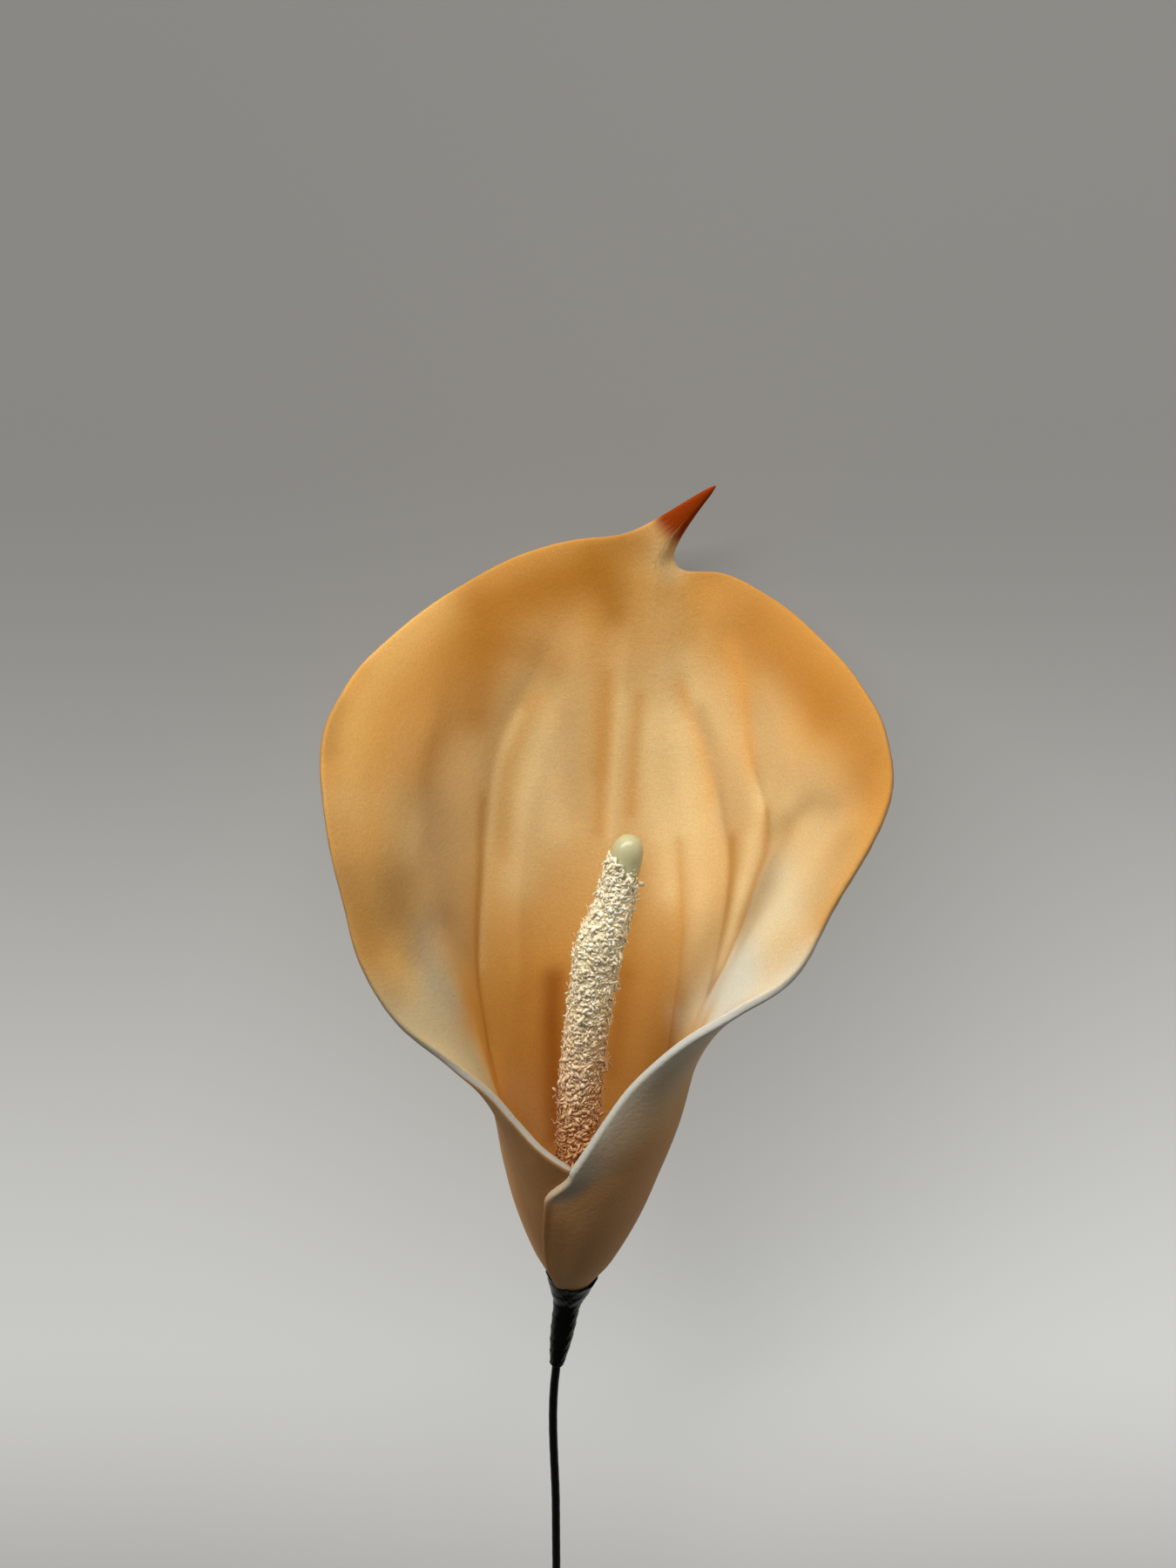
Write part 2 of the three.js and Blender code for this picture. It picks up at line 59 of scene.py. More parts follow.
# round the rim: degrees from the back, radius, height, curl, and how late the flare sets in
RIM = [
    (-180, 20.0, 45.0, 0.0, 3.0),
    (-160, 21.5, 50.0, 0.0, 3.0),
    (-143, 23.2, 56.0, 0.3, 3.5),
    (-128, 27.5, 63.5, 0.8, 5.0),
    (-118, 34.5, 70.0, 2.0, 6.5),
    (-109, 44.5, 79.5, 3.5, 6.5),
    (-99, 53.0, 96.0, 4.0, 5.5),
    (-91, 58.0, 114.0, 5.0, 4.5),
    (-82, 61.5, 130.0, 6.0, 4.0),
    (-70, 61.0, 139.5, 7.0, 4.0),
    (-55, 59.5, 146.0, 8.0, 4.0),
    (-38, 57.5, 153.0, 8.0, 4.0),
    (-24, 53.5, 159.5, 6.0, 4.0),
    (-10, 48.5, 163.0, 4.0, 4.0),
    (5, 46.0, 160.0, 3.0, 4.0),
    (15, 47.0, 157.0, 4.0, 4.0),
    (25, 53.0, 155.5, 6.0, 4.0),
    (37, 56.5, 150.5, 8.0, 4.0),
    (52, 56.3, 145.0, 8.0, 4.0),
    (68, 56.0, 140.0, 7.0, 4.0),
    (80, 57.5, 133.5, 6.0, 4.0),
    (88, 58.0, 125.0, 5.0, 4.5),
    (95, 54.5, 116.0, 4.0, 5.5),
    (102, 48.5, 104.0, 4.0, 6.5),
    (110, 44.0, 92.0, 4.0, 7.0),
    (120, 35.5, 85.0, 3.0, 6.5),
    (132, 28.5, 79.0, 1.5, 5.0),
    (145, 23.0, 70.0, 0.5, 4.0),
    (160, 20.5, 60.0, 0.0, 3.0),
    (180, 20.0, 45.5, 0.0, 3.0),
]
CURL_FROM = 0.72
V_Y = 45.0
FRONT_TURN = 8.0
LAP_DEG = 38.0
LAP_FADE = 45.0
LAP_GAP = 0.3
# pleats of the wall: depth, half width in degrees, and the course as heights and degrees from the back
PLEATS = [
    (1.5, 8, [(48, -77), (64, -73.5), (76, -69.5), (86, -61), (96, -52.5), (106, -46.5), (121, -37),
              (137, -21.5), (151, -14.5)]),
    (-0.8, 7, [(60, -46), (79, -43), (98, -36), (117, -25), (135, -13), (150, -8)]),
    (1.3, 5, [(60, 78), (70, 75.2), (77, 72.5), (88, 66.5), (97, 59), (108, 46), (115, 37.5),
              (121, 32), (126, 26.5), (140, 19.5)]),
    (1.2, 4.5, [(68, 78.5), (80, 79.5), (88, 79), (98, 74.5), (108, 68.5), (113, 62.5), (119, 51),
                (130, 39.5), (138, 32.5), (148, 26)]),
    (1.2, 6, [(95, 74), (103, 73), (108, 73.5), (113, 75.5), (118, 79), (126, 85)]),
    (0.7, 4, [(46, 63), (62, 56), (72, 51), (82, 45), (91, 38), (100, 32), (110, 27), (122, 21)]),
    (-1.3, 8, [(90, -97), (100, -92), (106, -86), (112, -78), (121, -70), (131, -57), (142, -48)]),
    (-0.5, 3.5, [(60, 5), (100, 4.5), (124, 3.8), (138, 4.2), (150, 5)]),
]
PLEAT_BLUNT = 0.3
PLEAT_FADE = 14.0
TAIL_AT = 9.4
TAIL_RISE = 18.7
TAIL_RIGHT = 12.2
TAIL_FORWARD = 4.0
TAIL_BEND_FROM = 160.0
TAIL_BEND_POWER = 1.2
TAIL_TOP = 178.7
TAIL_LEFT_DEG = 5.0
TAIL_RIGHT_DEG = 1.6
TAIL_BLUNT = 0.59
TAIL_SPREAD = 7.0
TAIL_FROM = 0.8
TAIL_BEND_DEG = 14.0
EDGE = 0.8                # how far in from its cut edge the foam has its full thickness
SHEET_COLUMNS = 360
SHEET_ROWS = 114
ROW_POWER = 0.92          # below 1: the rows lie closer near the rim
EDGE_POWER = 0.75         # how full the round of a cut edge is
RIM_SAMPLES = 2400
RIM_ZONE = 0.93           # from this share of the way on, the distance from the rim is measured
LEAST_SLANT = 0.22        # limit on how much the rounded strip widens where the rim runs aslant
SMALL_TURN = 0.1          # steps for the sheet's normal: degrees, and shares of the way to the rim
SMALL_RISE = 0.001

# Spadix, wire and tape
SPADIX_COURSE = [
    (0.9, 12.5, 0.0), (1.8, 40.0, 0.5), (3.2, 62.0, 0.5), (6.0, 83.0, 0.0), (10.6, 102.0, -1.5),
    (13.4, 113.6, -3.3),
]
CORE_R = 4.1
CORE_TOP_R = 3.4
CORE_NARROWS = 0.6
CORE_TIP = 4.5
COAT_FROM = 0.02
COAT_DEPTH = 0.22
BED_DEPTH = 0.4
HEAP_DEPTH = 1.3
COAT_TO = 0.955
HEAP_AT = 0.76
FLAKES_HIGH_AT = 0.3
FLAKES = 8900
FLAKE_SEED = 11
FLAKES_STANDING = 0.12    # share of the chips that stand up
CHIP_CORNERS = 12
WIRE_R = 1.0
WIRE_END = -155.0
STEM_X = -3.6
TAPE_TOP = 3.2
TAPE_END = -22.5
TAPE_LEAN_DEG = 8.0
REST_TILT = 8.5

MM = 0.001


def rest_matrix():
    """The turn from the flower's frame to the part's frame, about X, and the move that puts the spadix's
    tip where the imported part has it."""
    turn = np.array(Matrix.Rotation(math.radians(REST_TILT), 3, "X"))
    points = np.array([v.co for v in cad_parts["spadix_core"].data.vertices])
    tip = points[np.argmax(points[:, 1])] / MM
    return turn, tip - turn @ np.array(SPADIX_COURSE[-1])


TURN, SHIFT = rest_matrix()


def place(points):
    """Points of the flower's frame, in millimetres, as points of the part's frame, in metres."""
    return (np.asarray(points, float) @ TURN.T + SHIFT) * MM


def smooth(x):
    """Rises from 0 to 1 with no corner: 3x^2 - 2x^3 between 0 and 1."""
    x = np.clip(x, 0, 1)
    return x * x * (3 - 2 * x)


def past(x, start, over):
    """0 up to a start, then a smooth rise to 1 over a distance."""
    return smooth((x - start) / over)


def until(x, end, over):
    """1 at first, then a smooth fall to 0 over the distance before an end."""
    return smooth((end - x) / over)


def through(points, x, column=1):
    """A smooth curve through the points: cubic Hermite pieces with slopes from the points on both sides."""
    at = np.array([p[0] for p in points], float)
    value = np.array([p[column] for p in points], float)
    slope = np.gradient(value, at)
    slope[0] = (value[1] - value[0]) / (at[1] - at[0])
    slope[-1] = (value[-1] - value[-2]) / (at[-1] - at[-2])
    x = np.clip(x, at[0], at[-1])
    i = np.clip(np.searchsorted(at, x, side="right") - 1, 0, len(at) - 2)
    h = at[i + 1] - at[i]
    u = (x - at[i]) / h
    return ((2 * u**3 - 3 * u**2 + 1) * value[i] + (u**3 - 2 * u**2 + u) * h * slope[i]
            + (3 * u**2 - 2 * u**3) * value[i + 1] + (u**3 - u**2) * h * slope[i + 1])


def peak(x, blunt):
    """A peak of height 1 that falls away as a tent does, but rounded: exp(blunt - hypot(x, blunt))."""
    return np.exp(blunt - np.hypot(x, blunt))


def tail_pull(phi, t):
    """The tail's share of the pull: a peak at its angle, narrower towards the rim, times rise squared."""
    off = phi - TAIL_AT
    rise = np.clip((t - TAIL_FROM) / (1 - TAIL_FROM), 0, 1)
    width = np.where(off < 0, TAIL_LEFT_DEG, TAIL_RIGHT_DEG) + TAIL_SPREAD * (1 - rise)
    return peak(off / width, TAIL_BLUNT) * rise ** 2


def sheet_thickness(phi, t, y):
    """Full thickness from a little above the foot, less in the tape's squeeze and towards the tail's tip."""
    foot = FOOT_SHEET + (SHEET - FOOT_SHEET) * past(y, FOOT_Y, SQUEEZED_TO - FOOT_Y)
    return foot - (SHEET - TAIL_SHEET) * tail_pull(phi, t)


def lap_turn(y):
    """Degrees that each flap runs past the other at a height: exp(-y / fade), and none at the V."""
    return LAP_DEG * np.exp(-np.maximum(y, 0) / LAP_FADE) * until(y, V_Y, 10)


def sheet_point(phi, t):
    """The middle of the sheet. Radius = funnel(height) + flare * t^power + pleats, height = foot to rim by
    t, less the curl near the rim, turned by phi and by the lap of the two flaps at the front, then pulled
    out at the tail."""
    curl = through(RIM, phi, 3)
    top = through(RIM, phi, 2) + curl
    line = FOOT_Y + (top - FOOT_Y) * t
    y = line - curl * np.clip((t - CURL_FROM) / (1 - CURL_FROM), 0, 1) ** 2
    flare = through(RIM, phi, 1) - through(FUNNEL, top)
    radius = through(FUNNEL, line) + flare * t ** through(RIM, phi, 4)
    for depth, width, course in PLEATS:
        window = past(y, course[0][0], PLEAT_FADE) * until(y, course[-1][0], PLEAT_FADE)
        radius = radius + depth * window * peak((phi - through(course, y)) / width, PLEAT_BLUNT)
    front = past(np.abs(phi), 75, 35)
    turn = np.radians(phi * (1 + lap_turn(y) / 180) + FRONT_TURN * past(np.abs(phi), 95, 60))
    apart = (sheet_thickness(phi, t, y) + LAP_GAP) / 2
    radius = radius + np.sign(phi) * apart * front * until(y, V_Y + 22, 20)
    y = y + TAIL_RISE * tail_pull(phi, t)
    bend = np.maximum(0, (y - TAIL_BEND_FROM) / (TAIL_TOP - TAIL_BEND_FROM)) ** TAIL_BEND_POWER
    bend = bend * np.exp(-(((phi - TAIL_AT) / TAIL_BEND_DEG) ** 2))
    return np.stack([
        LEAN * y + radius * np.sin(turn) + TAIL_RIGHT * bend,
        y,
        -radius * np.cos(turn) + TAIL_FORWARD * bend,
    ], -1)


def sheet_columns(count):
    """Angles from -180 to 180, three times as close at the tail as far from it."""
    fine = np.linspace(-180, 180, 4001)
    density = 1 + 2.5 * np.exp(-(((fine - TAIL_AT) / 16) ** 2))
    total = np.concatenate([[0], np.cumsum((density[1:] + density[:-1]) / 2)])
    return np.interp(np.linspace(0, total[-1], count), total, fine)


def unit(v):
    return v / np.maximum(np.linalg.norm(v, axis=-1, keepdims=True), 1e-12)


def quads(rows, columns, start=0):
    """Quads of a grid whose point (i, j) is start + i * columns + j."""
    i, j = np.meshgrid(np.arange(rows - 1), np.arange(columns - 1), indexing="ij")
    a = (start + i * columns + j).ravel()
    return np.stack([a, a + 1, a + columns + 1, a + columns], 1)


def build_piece(name, points, faces, material, replaced, attributes=None, colour=None):
    """A mesh from arrays: points in the flower's frame, faces as arrays of 3 or 4 corners each."""
    mesh = bpy.data.meshes.new(name)
    points = place(points)
    counts = np.concatenate([np.full(len(f), f.shape[1]) for f in faces])
    loops = np.concatenate([f.ravel() for f in faces]).astype(np.int32)
    mesh.vertices.add(len(points))
    mesh.vertices.foreach_set("co", points.astype(np.float32).ravel())
    mesh.loops.add(len(loops))
    mesh.loops.foreach_set("vertex_index", loops)
    mesh.polygons.add(len(counts))
    mesh.polygons.foreach_set("loop_start", np.concatenate([[0], np.cumsum(counts)[:-1]]).astype(np.int32))
    mesh.polygons.foreach_set("use_smooth", np.ones(len(counts), bool))
    mesh.update(calc_edges=True)
    for key, values in (attributes or {}).items():
        layer = mesh.attributes.new(key, "FLOAT", "POINT")
        layer.data.foreach_set("value", np.asarray(values, np.float32))
    if colour is not None:
        layer = mesh.attributes.new("paint", "FLOAT_COLOR", "POINT")
        with_alpha = np.concatenate([colour, np.ones((len(colour), 1))], 1)
        layer.data.foreach_set("color", with_alpha.astype(np.float32).ravel())
    mesh.validate()
    mesh.materials.append(material)
    piece = bpy.data.objects.new(name, mesh)
    bpy.context.scene.collection.objects.link(piece)
    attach(piece, BODY)
    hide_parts(*replaced)
    return piece


# Tones of the paint, as red, green and blue from 0 to 255
TONES = {
    "cream": (230, 197, 138),
    "pale": (202, 200, 184),
    "milk": (216, 200, 162),
    "flap": (188, 168, 128),
    "sand": (210, 176, 122),
    "edge": (174, 175, 168),
    "bare": (176, 161, 137),
    "dusty": (194, 158, 106),
    "orange": (199, 141, 64),
    # the next tone, a golden orange, is laid partly as painted light
    "lit_gold": (216, 168, 95),
    "gold": (222, 158, 76),
    "bright": (214, 155, 66),
    "amber": (180, 125, 48),
    "burnt": (168, 108, 30),
    # the next tone, a dark rust orange, is laid as painted shadow beside the spadix
    "spadix_shadow": (158, 90, 20),
    "shade": (138, 103, 54),
    # the next tone, a grey-brown, is laid as painted shade
    "grey_shade": (150, 126, 94),
    "neck": (222, 176, 112),
    "tip": (146, 54, 2),
    "tan": (176, 123, 73),
    "brown": (128, 88, 44),
}


def linear(rgb):
    """A colour of 0 to 255 as the linear values that a shader takes."""
    c = np.array(rgb, float) / 255
    value = np.where(c <= 0.04045, c / 12.92, ((c + 0.055) / 1.055) ** 2.4)
    return (*value.tolist(), 1.0)


# Strokes on the inner face, in the order in which they are laid: tone, half width in mm, strength, and the
# course as degrees from the back and shares of the way to the rim. Most are the airbrush's paint; those in
# the shade tone are painted shade, and those marked below are painted shade or painted light in part, as each
# comment says
STROKES = [
    # golden orange on the left lobe's rolled rim: partly its paint, partly painted light where the rim turns
    # to the lamp
    ("lit_gold", 7.0, 0.9, [(-86, 0.97), (-80, 0.97), (-70, 0.985), (-55, 0.99), (-44, 1.0)]),
    ("orange", 5.0, 0.85, [(-90, 1.0), (-95, 0.98), (-99, 0.97)]),
    ("burnt", 6.5, 0.85, [(-34, 0.95), (-29, 0.94), (-20, 0.94), (-8, 0.945), (1, 0.94)]),
    # burnt bands on the left lobe: its burnt paint, and painted shade in the valley where the lobe turns into
    # the wall
    ("burnt", 6.0, 0.7, [(-36, 0.90), (-38, 0.86), (-43, 0.82)]),
    ("burnt", 7.5, 0.6, [(-43, 0.895), (-52, 0.87), (-60, 0.85), (-68, 0.835)]),
    ("shade", 4.0, 0.35, [(-3, 0.99), (4, 0.975)]),
    ("burnt", 5.0, 0.45, [(-33, 0.89), (-26, 0.86), (-17, 0.83)]),
    ("orange", 3.2, 0.5, [(-6, 0.89), (-5, 0.83), (-3.5, 0.76), (-3, 0.70)]),
    ("burnt", 4.0, 0.7, [(-7, 0.97), (-3, 0.93), (-1, 0.90)]),
    ("gold", 6.0, 0.6, [(13, 0.965), (21, 0.965)]),
    # golden orange beside the tail's base: painted light where the surface turns away from the lamp
    ("lit_gold", 6.5, 0.65, [(9, 0.93), (15, 0.92), (20, 0.90)]),
    ("neck", 4.5, 0.6, [(14, 0.91), (15.5, 0.87)]),
    ("burnt", 7.0, 0.55, [(36, 0.955), (42, 0.955), (53, 0.95), (67, 0.95), (79, 0.96), (85, 0.97)]),
    ("burnt", 5.0, 0.45, [(40, 0.905), (47, 0.92), (56, 0.925), (65, 0.925)]),
    ("dusty", 7.0, 0.7, [(45, 0.85), (52, 0.83), (60, 0.81), (68, 0.82), (76, 0.86)]),
    ("dusty", 5.0, 0.6, [(45, 0.76), (55, 0.73), (63, 0.69), (70, 0.66)]),
    ("cream", 6.0, 0.9, [(-24, 0.73), (-25, 0.68), (-21, 0.63)]),
    ("shade", 6.0, 0.35, [(-21, 0.81), (-28, 0.80), (-30, 0.75), (-36, 0.735), (-41, 0.68)]),
    ("shade", 4.0, 0.3, [(-35, 0.68), (-34, 0.62)]),
    ("orange", 4.0, 0.4, [(38, 0.88), (41, 0.85)]),
    ("dusty", 3.5, 0.35, [(-14, 0.76), (-12, 0.70), (-11, 0.64)]),
    ("cream", 5.0, 0.8, [(-31, 0.68), (-33, 0.62), (-38, 0.58)]),
    ("cream", 4.5, 0.95, [(19, 0.79), (21.5, 0.76), (27, 0.71), (34, 0.66)]),
    ("cream", 4.0, 0.9, [(14, 0.77), (16, 0.73), (19, 0.69), (24, 0.64)]),
    ("cream", 4.0, 0.75, [(24, 0.66), (30, 0.61), (35, 0.57)]),
    ("cream", 4.0, 0.7, [(38, 0.65), (48, 0.61), (57, 0.56), (64, 0.50)]),
    ("cream", 3.0, 0.7, [(70, 0.66), (74, 0.60), (76, 0.56)]),
    ("cream", 3.5, 0.6, [(21, 0.86), (26, 0.81), (32, 0.78)]),
    # cream line on the midrib's ridge: partly paler foam, partly painted highlight
    ("cream", 1.7, 0.8, [(4.3, 0.80), (4.0, 0.73), (4.7, 0.62)]),
    ("orange", 1.8, 0.7, [(-2.0, 0.82), (-1.8, 0.74), (-1.5, 0.62)]),
    ("orange", 1.8, 0.7, [(9.2, 0.81), (9.6, 0.75), (11, 0.66)]),
    ("orange", 2.2, 0.45, [(-24, 0.79), (-31, 0.75), (-35, 0.72), (-39, 0.675), (-43, 0.63)]),
    # the left crease: amber is airbrushed orange in the groove and painted shade on its dark bank, and the
    # cream line is painted highlight on its lit bank
    ("amber", 1.6, 0.75, [(-47, 0.71), (-56, 0.63), (-65, 0.58), (-74, 0.53), (-78, 0.45), (-80, 0.37)]),
    ("cream", 1.2, 0.75, [(-29, 0.78), (-35, 0.75), (-39, 0.73), (-44, 0.68), (-50, 0.63), (-58, 0.58),
                          (-67, 0.53)]),
    ("gold", 2.0, 0.7, [(20, 0.83), (24, 0.80), (28, 0.785), (33, 0.755), (41, 0.71)]),
    ("cream", 1.0, 0.7, [(26, 0.80), (31, 0.78), (37, 0.75), (45, 0.70)]),
    ("dusty", 2.2, 0.8, [(29, 0.80), (35, 0.77), (42, 0.73), (50, 0.69)]),
    ("amber", 2.2, 0.85, [(56, 0.69), (63, 0.655), (71, 0.605), (75.5, 0.545), (77.5, 0.50)]),
    ("gold", 2.2, 0.6, [(31, 0.90), (36, 0.87), (42, 0.83), (51, 0.78)]),
    ("sand", 8.0, 0.85, [(85, 0.87), (90, 0.87), (95, 0.87), (101, 0.88), (106, 0.90)]),
    # milk along the lip's convex roll: its pale foam and a painted highlight
    ("milk", 6.5, 0.9, [(83, 0.755), (87, 0.70), (88, 0.64), (87, 0.59), (84, 0.55)]),
    ("milk", 7.0, 0.8, [(95, 0.84), (97, 0.78), (96, 0.72)]),
    ("pale", 5.0, 0.75, [(97, 0.76), (93, 0.68), (88, 0.60), (84, 0.54)]),
    ("pale", 6.0, 0.85, [(106, 0.86), (105, 0.80), (100, 0.73)]),
    ("sand", 4.0, 0.7, [(80, 0.50), (76, 0.46), (70, 0.43)]),
    ("milk", 3.5, 0.75, [(71, 0.48), (67, 0.455), (61, 0.44)]),
    ("shade", 4.0, 0.45, [(78, 0.745), (80.5, 0.70), (79, 0.655)]),
    ("shade", 4.5, 0.3, [(84, 0.745), (88, 0.70)]),
    ("shade", 3.0, 0.35, [(75.5, 0.79), (77, 0.78)]),
    ("cream", 3.5, 0.55, [(61, 0.77), (67, 0.75), (72, 0.80)]),
    ("cream", 3.0, 0.5, [(16, 0.85), (18, 0.81)]),
    ("shade", 4.0, 0.25, [(93, 0.95), (97, 0.955), (100, 0.96)]),
    ("shade", 3.0, 0.35, [(69, 0.75), (73.5, 0.79), (77.5, 0.84), (83, 0.89)]),
    # burnt line in the fold beside the lip: airbrushed orange and painted shade in the crease
    ("burnt", 1.5, 0.85, [(65, 0.76), (71, 0.72), (75.5, 0.67), (78.5, 0.625), (79, 0.57), (77.5, 0.53)]),
    ("orange", 1.6, 0.6, [(33, 0.63), (39, 0.58), (45.5, 0.53), (50, 0.48), (56, 0.42)]),
    ("orange", 3.0, 0.7, [(86, 0.99), (92, 1.0), (99, 1.0), (104, 1.0)]),
    ("cream", 1.8, 0.6, [(64, 0.72), (70, 0.67), (74, 0.62), (76, 0.57)]),
    ("shade", 6.5, 0.65, [(-91, 0.89), (-94, 0.905)]),
    ("shade", 5.5, 0.35, [(-76, 0.83), (-83, 0.84), (-89, 0.87)]),
    ("orange", 3.5, 0.6, [(-66, 1.0), (-74, 1.0), (-84, 0.985)]),
    ("shade", 3.0, 0.35, [(-74, 1.0), (-81, 0.99)]),
    ("shade", 4.0, 0.4, [(-84, 0.71), (-90, 0.79), (-97, 0.88)]),
    # grey-brown band on the left wall: painted shade where the lobe turns into the wall
    ("grey_shade", 8.0, 0.4, [(-71, 0.77), (-76, 0.73), (-80, 0.69), (-80, 0.64)]),
    ("dusty", 8.0, 0.35, [(-87, 0.97), (-90, 0.98), (-93, 0.99)]),
    ("shade", 5.0, 0.4, [(-94, 0.99), (-98, 0.99), (-102, 0.99), (-105, 0.98)]),
    ("bare", 5.0, 0.35, [(-92, 0.80), (-96, 0.79), (-100, 0.78)]),
    ("orange", 4.5, 0.6, [(-98, 0.71), (-92, 0.65), (-87, 0.57)]),
    # gold and neck low on the throat's left: its orange, and painted light where the left flap shades it
    ("gold", 5.0, 0.9, [(-77, 0.36), (-62, 0.31), (-47, 0.28)]),
    ("neck", 5.0, 0.7, [(-62, 0.32), (-50, 0.29), (-32, 0.22)]),
    # at the tail's base: its cream neck, painted light where the base turns away from the lamp, and painted
    # shade on the rim left of it
    ("neck", 5.0, 0.75, [(7, 0.96), (9, 0.98), (8, 1.0), (12, 1.0)]),
    ("cream", 3.5, 0.9, [(11.5, 0.965), (13.5, 0.975)]),
    ("burnt", 3.5, 0.5, [(-1, 0.985), (3.5, 0.97)]),
    # dark orange bands on both sides of the spadix: painted shadow of the spadix on the wall
    ("spadix_shadow", 3.3, 0.85, [(-22, 0.42), (-23, 0.36), (-22, 0.27), (-19, 0.20)]),
    ("amber", 3.0, 0.5, [(15, 0.58), (18, 0.52), (20, 0.45)]),
    ("spadix_shadow", 2.6, 0.4, [(19, 0.44), (20, 0.37), (21, 0.30)]),
]
THROAT_FROM = 110.0
THROAT_TO = 66.0
TAN_FROM = 92.0
TAN_TO = 45.0
TIP_REACH = 15.4


def lay(colour, density, tone, amount):
    """Blends the paint towards a tone by an amount, and adds up where it half covers, and so speckles."""
    amount = np.clip(amount, 0, 1)
    colour += (np.array(linear(TONES[tone])[:3]) - colour) * amount[:, None]
    density += amount * (1 - amount)


def stroke_amount(points, course, width, strength):
    """How much paint a stroke leaves: strength * exp(-(distance to its course / width)^2)."""
    step = np.linspace(0, len(course) - 1, 12 * len(course))
    keys = np.arange(len(course))
    phi = np.interp(step, keys, [c[0] for c in course])
    t = np.interp(step, keys, [c[1] for c in course])
    line = sheet_point(phi, t)
    nearest = np.full(len(points), 1e9)
    for place_on_line in line:
        nearest = np.minimum(nearest, ((points - place_on_line) ** 2).sum(1))
    return strength * np.exp(-nearest / width**2)


def paint(points, phi, t, inside):
    """The painted colour of the sheet's points: a mist over everything, full cover on the lobes, the strokes,
    the throat and the front flaps on the inner face, and a thinner mist on the outer face. Some strokes, the
    brown on the outer face's left and the brown at the seam are painted shade, and a few strokes are painted
    light."""
    colour = np.tile(linear(TONES["cream"])[:3], (len(points), 1))
    density = np.zeros(len(points))
    y = points[:, 1]
    outside = 1 - inside
    beside = np.abs(phi)

    def coat(tone, amount):
        lay(colour, density, tone, amount)

    # inner face: the mist, the lobes, the throat, the two flaps, and the strokes
    coat("orange", inside * 0.4 * past(y, 60, 40))
    coat("orange", inside * 0.9 * past(t, 0.80, 0.14) * until(beside, 100, 9))
    left = smooth((-phi - 90 - 10 * past(t, 0.82, 0.14)) / 9)
    front = np.where(phi < 0, left, past(phi, 102, 10))
    throat = inside * 0.9 * until(y, THROAT_FROM, THROAT_FROM - THROAT_TO) * (1 - front * past(t, 0.5, 0.4))
    right = past(phi, -10, 30)
    coat("bright", throat * (1 - right))
    coat("amber", throat * right * (1 - 0.4 * past(phi, 40, 20) * past(y, 62, 12)))
    near_rim = past(t, 0.62, 0.2)
    coat("flap", inside * 0.9 * left * near_rim)
    coat("pale", inside * 0.9 * np.where(phi < 0, 0, front) * near_rim)
    for tone, width, strength, course in STROKES:
        coat(tone, inside * stroke_amount(points, course, width, strength))
    # outer face: tan at the foot, a mist at the lobes' rim, brown on the left as painted shade, barer on the
    # right
    coat("tan", outside * 0.85 * until(y, TAN_FROM, TAN_FROM - TAN_TO))
    coat("orange", outside * 0.45 * past(t, 0.78, 0.2) * until(beside, 100, 20))
    coat("brown", outside * 0.6 * past(-phi, 90, 25) * until(y, 80, 30))
    coat("bare", outside * 0.7 * past(phi, 112, 15) * past(t, 0.6, 0.3) * past(y, 30, 16))
    coat("pale", outside * 0.5 * past(phi, 100, 15) * past(t, 0.88, 0.1) * past(y, 34, 8))
    # both faces: the seam at the front, browned as painted shade where its rounded strip catches the lamp,
    # and the dipped tip
    coat("brown", 0.6 * past(beside, 150, 20) * until(y, 34, 8))
    coat("bare", 0.6 * past(phi, 160, 10) * past(y, 33, 5))
    coat("brown", 0.75 * past(phi, 171, 6) * until(y, 38, 6))
    coat("tip", dipped(points))
    return colour, density


def dipped(points):
    """1 on the tail's dipped tip, 0 below it: by the distance from the very tip."""
    tail_tip = sheet_point(np.array([TAIL_AT]), np.array([1.0]))[0]
    return until(np.linalg.norm(points - tail_tip, axis=1), TIP_REACH + 2.0, 4)


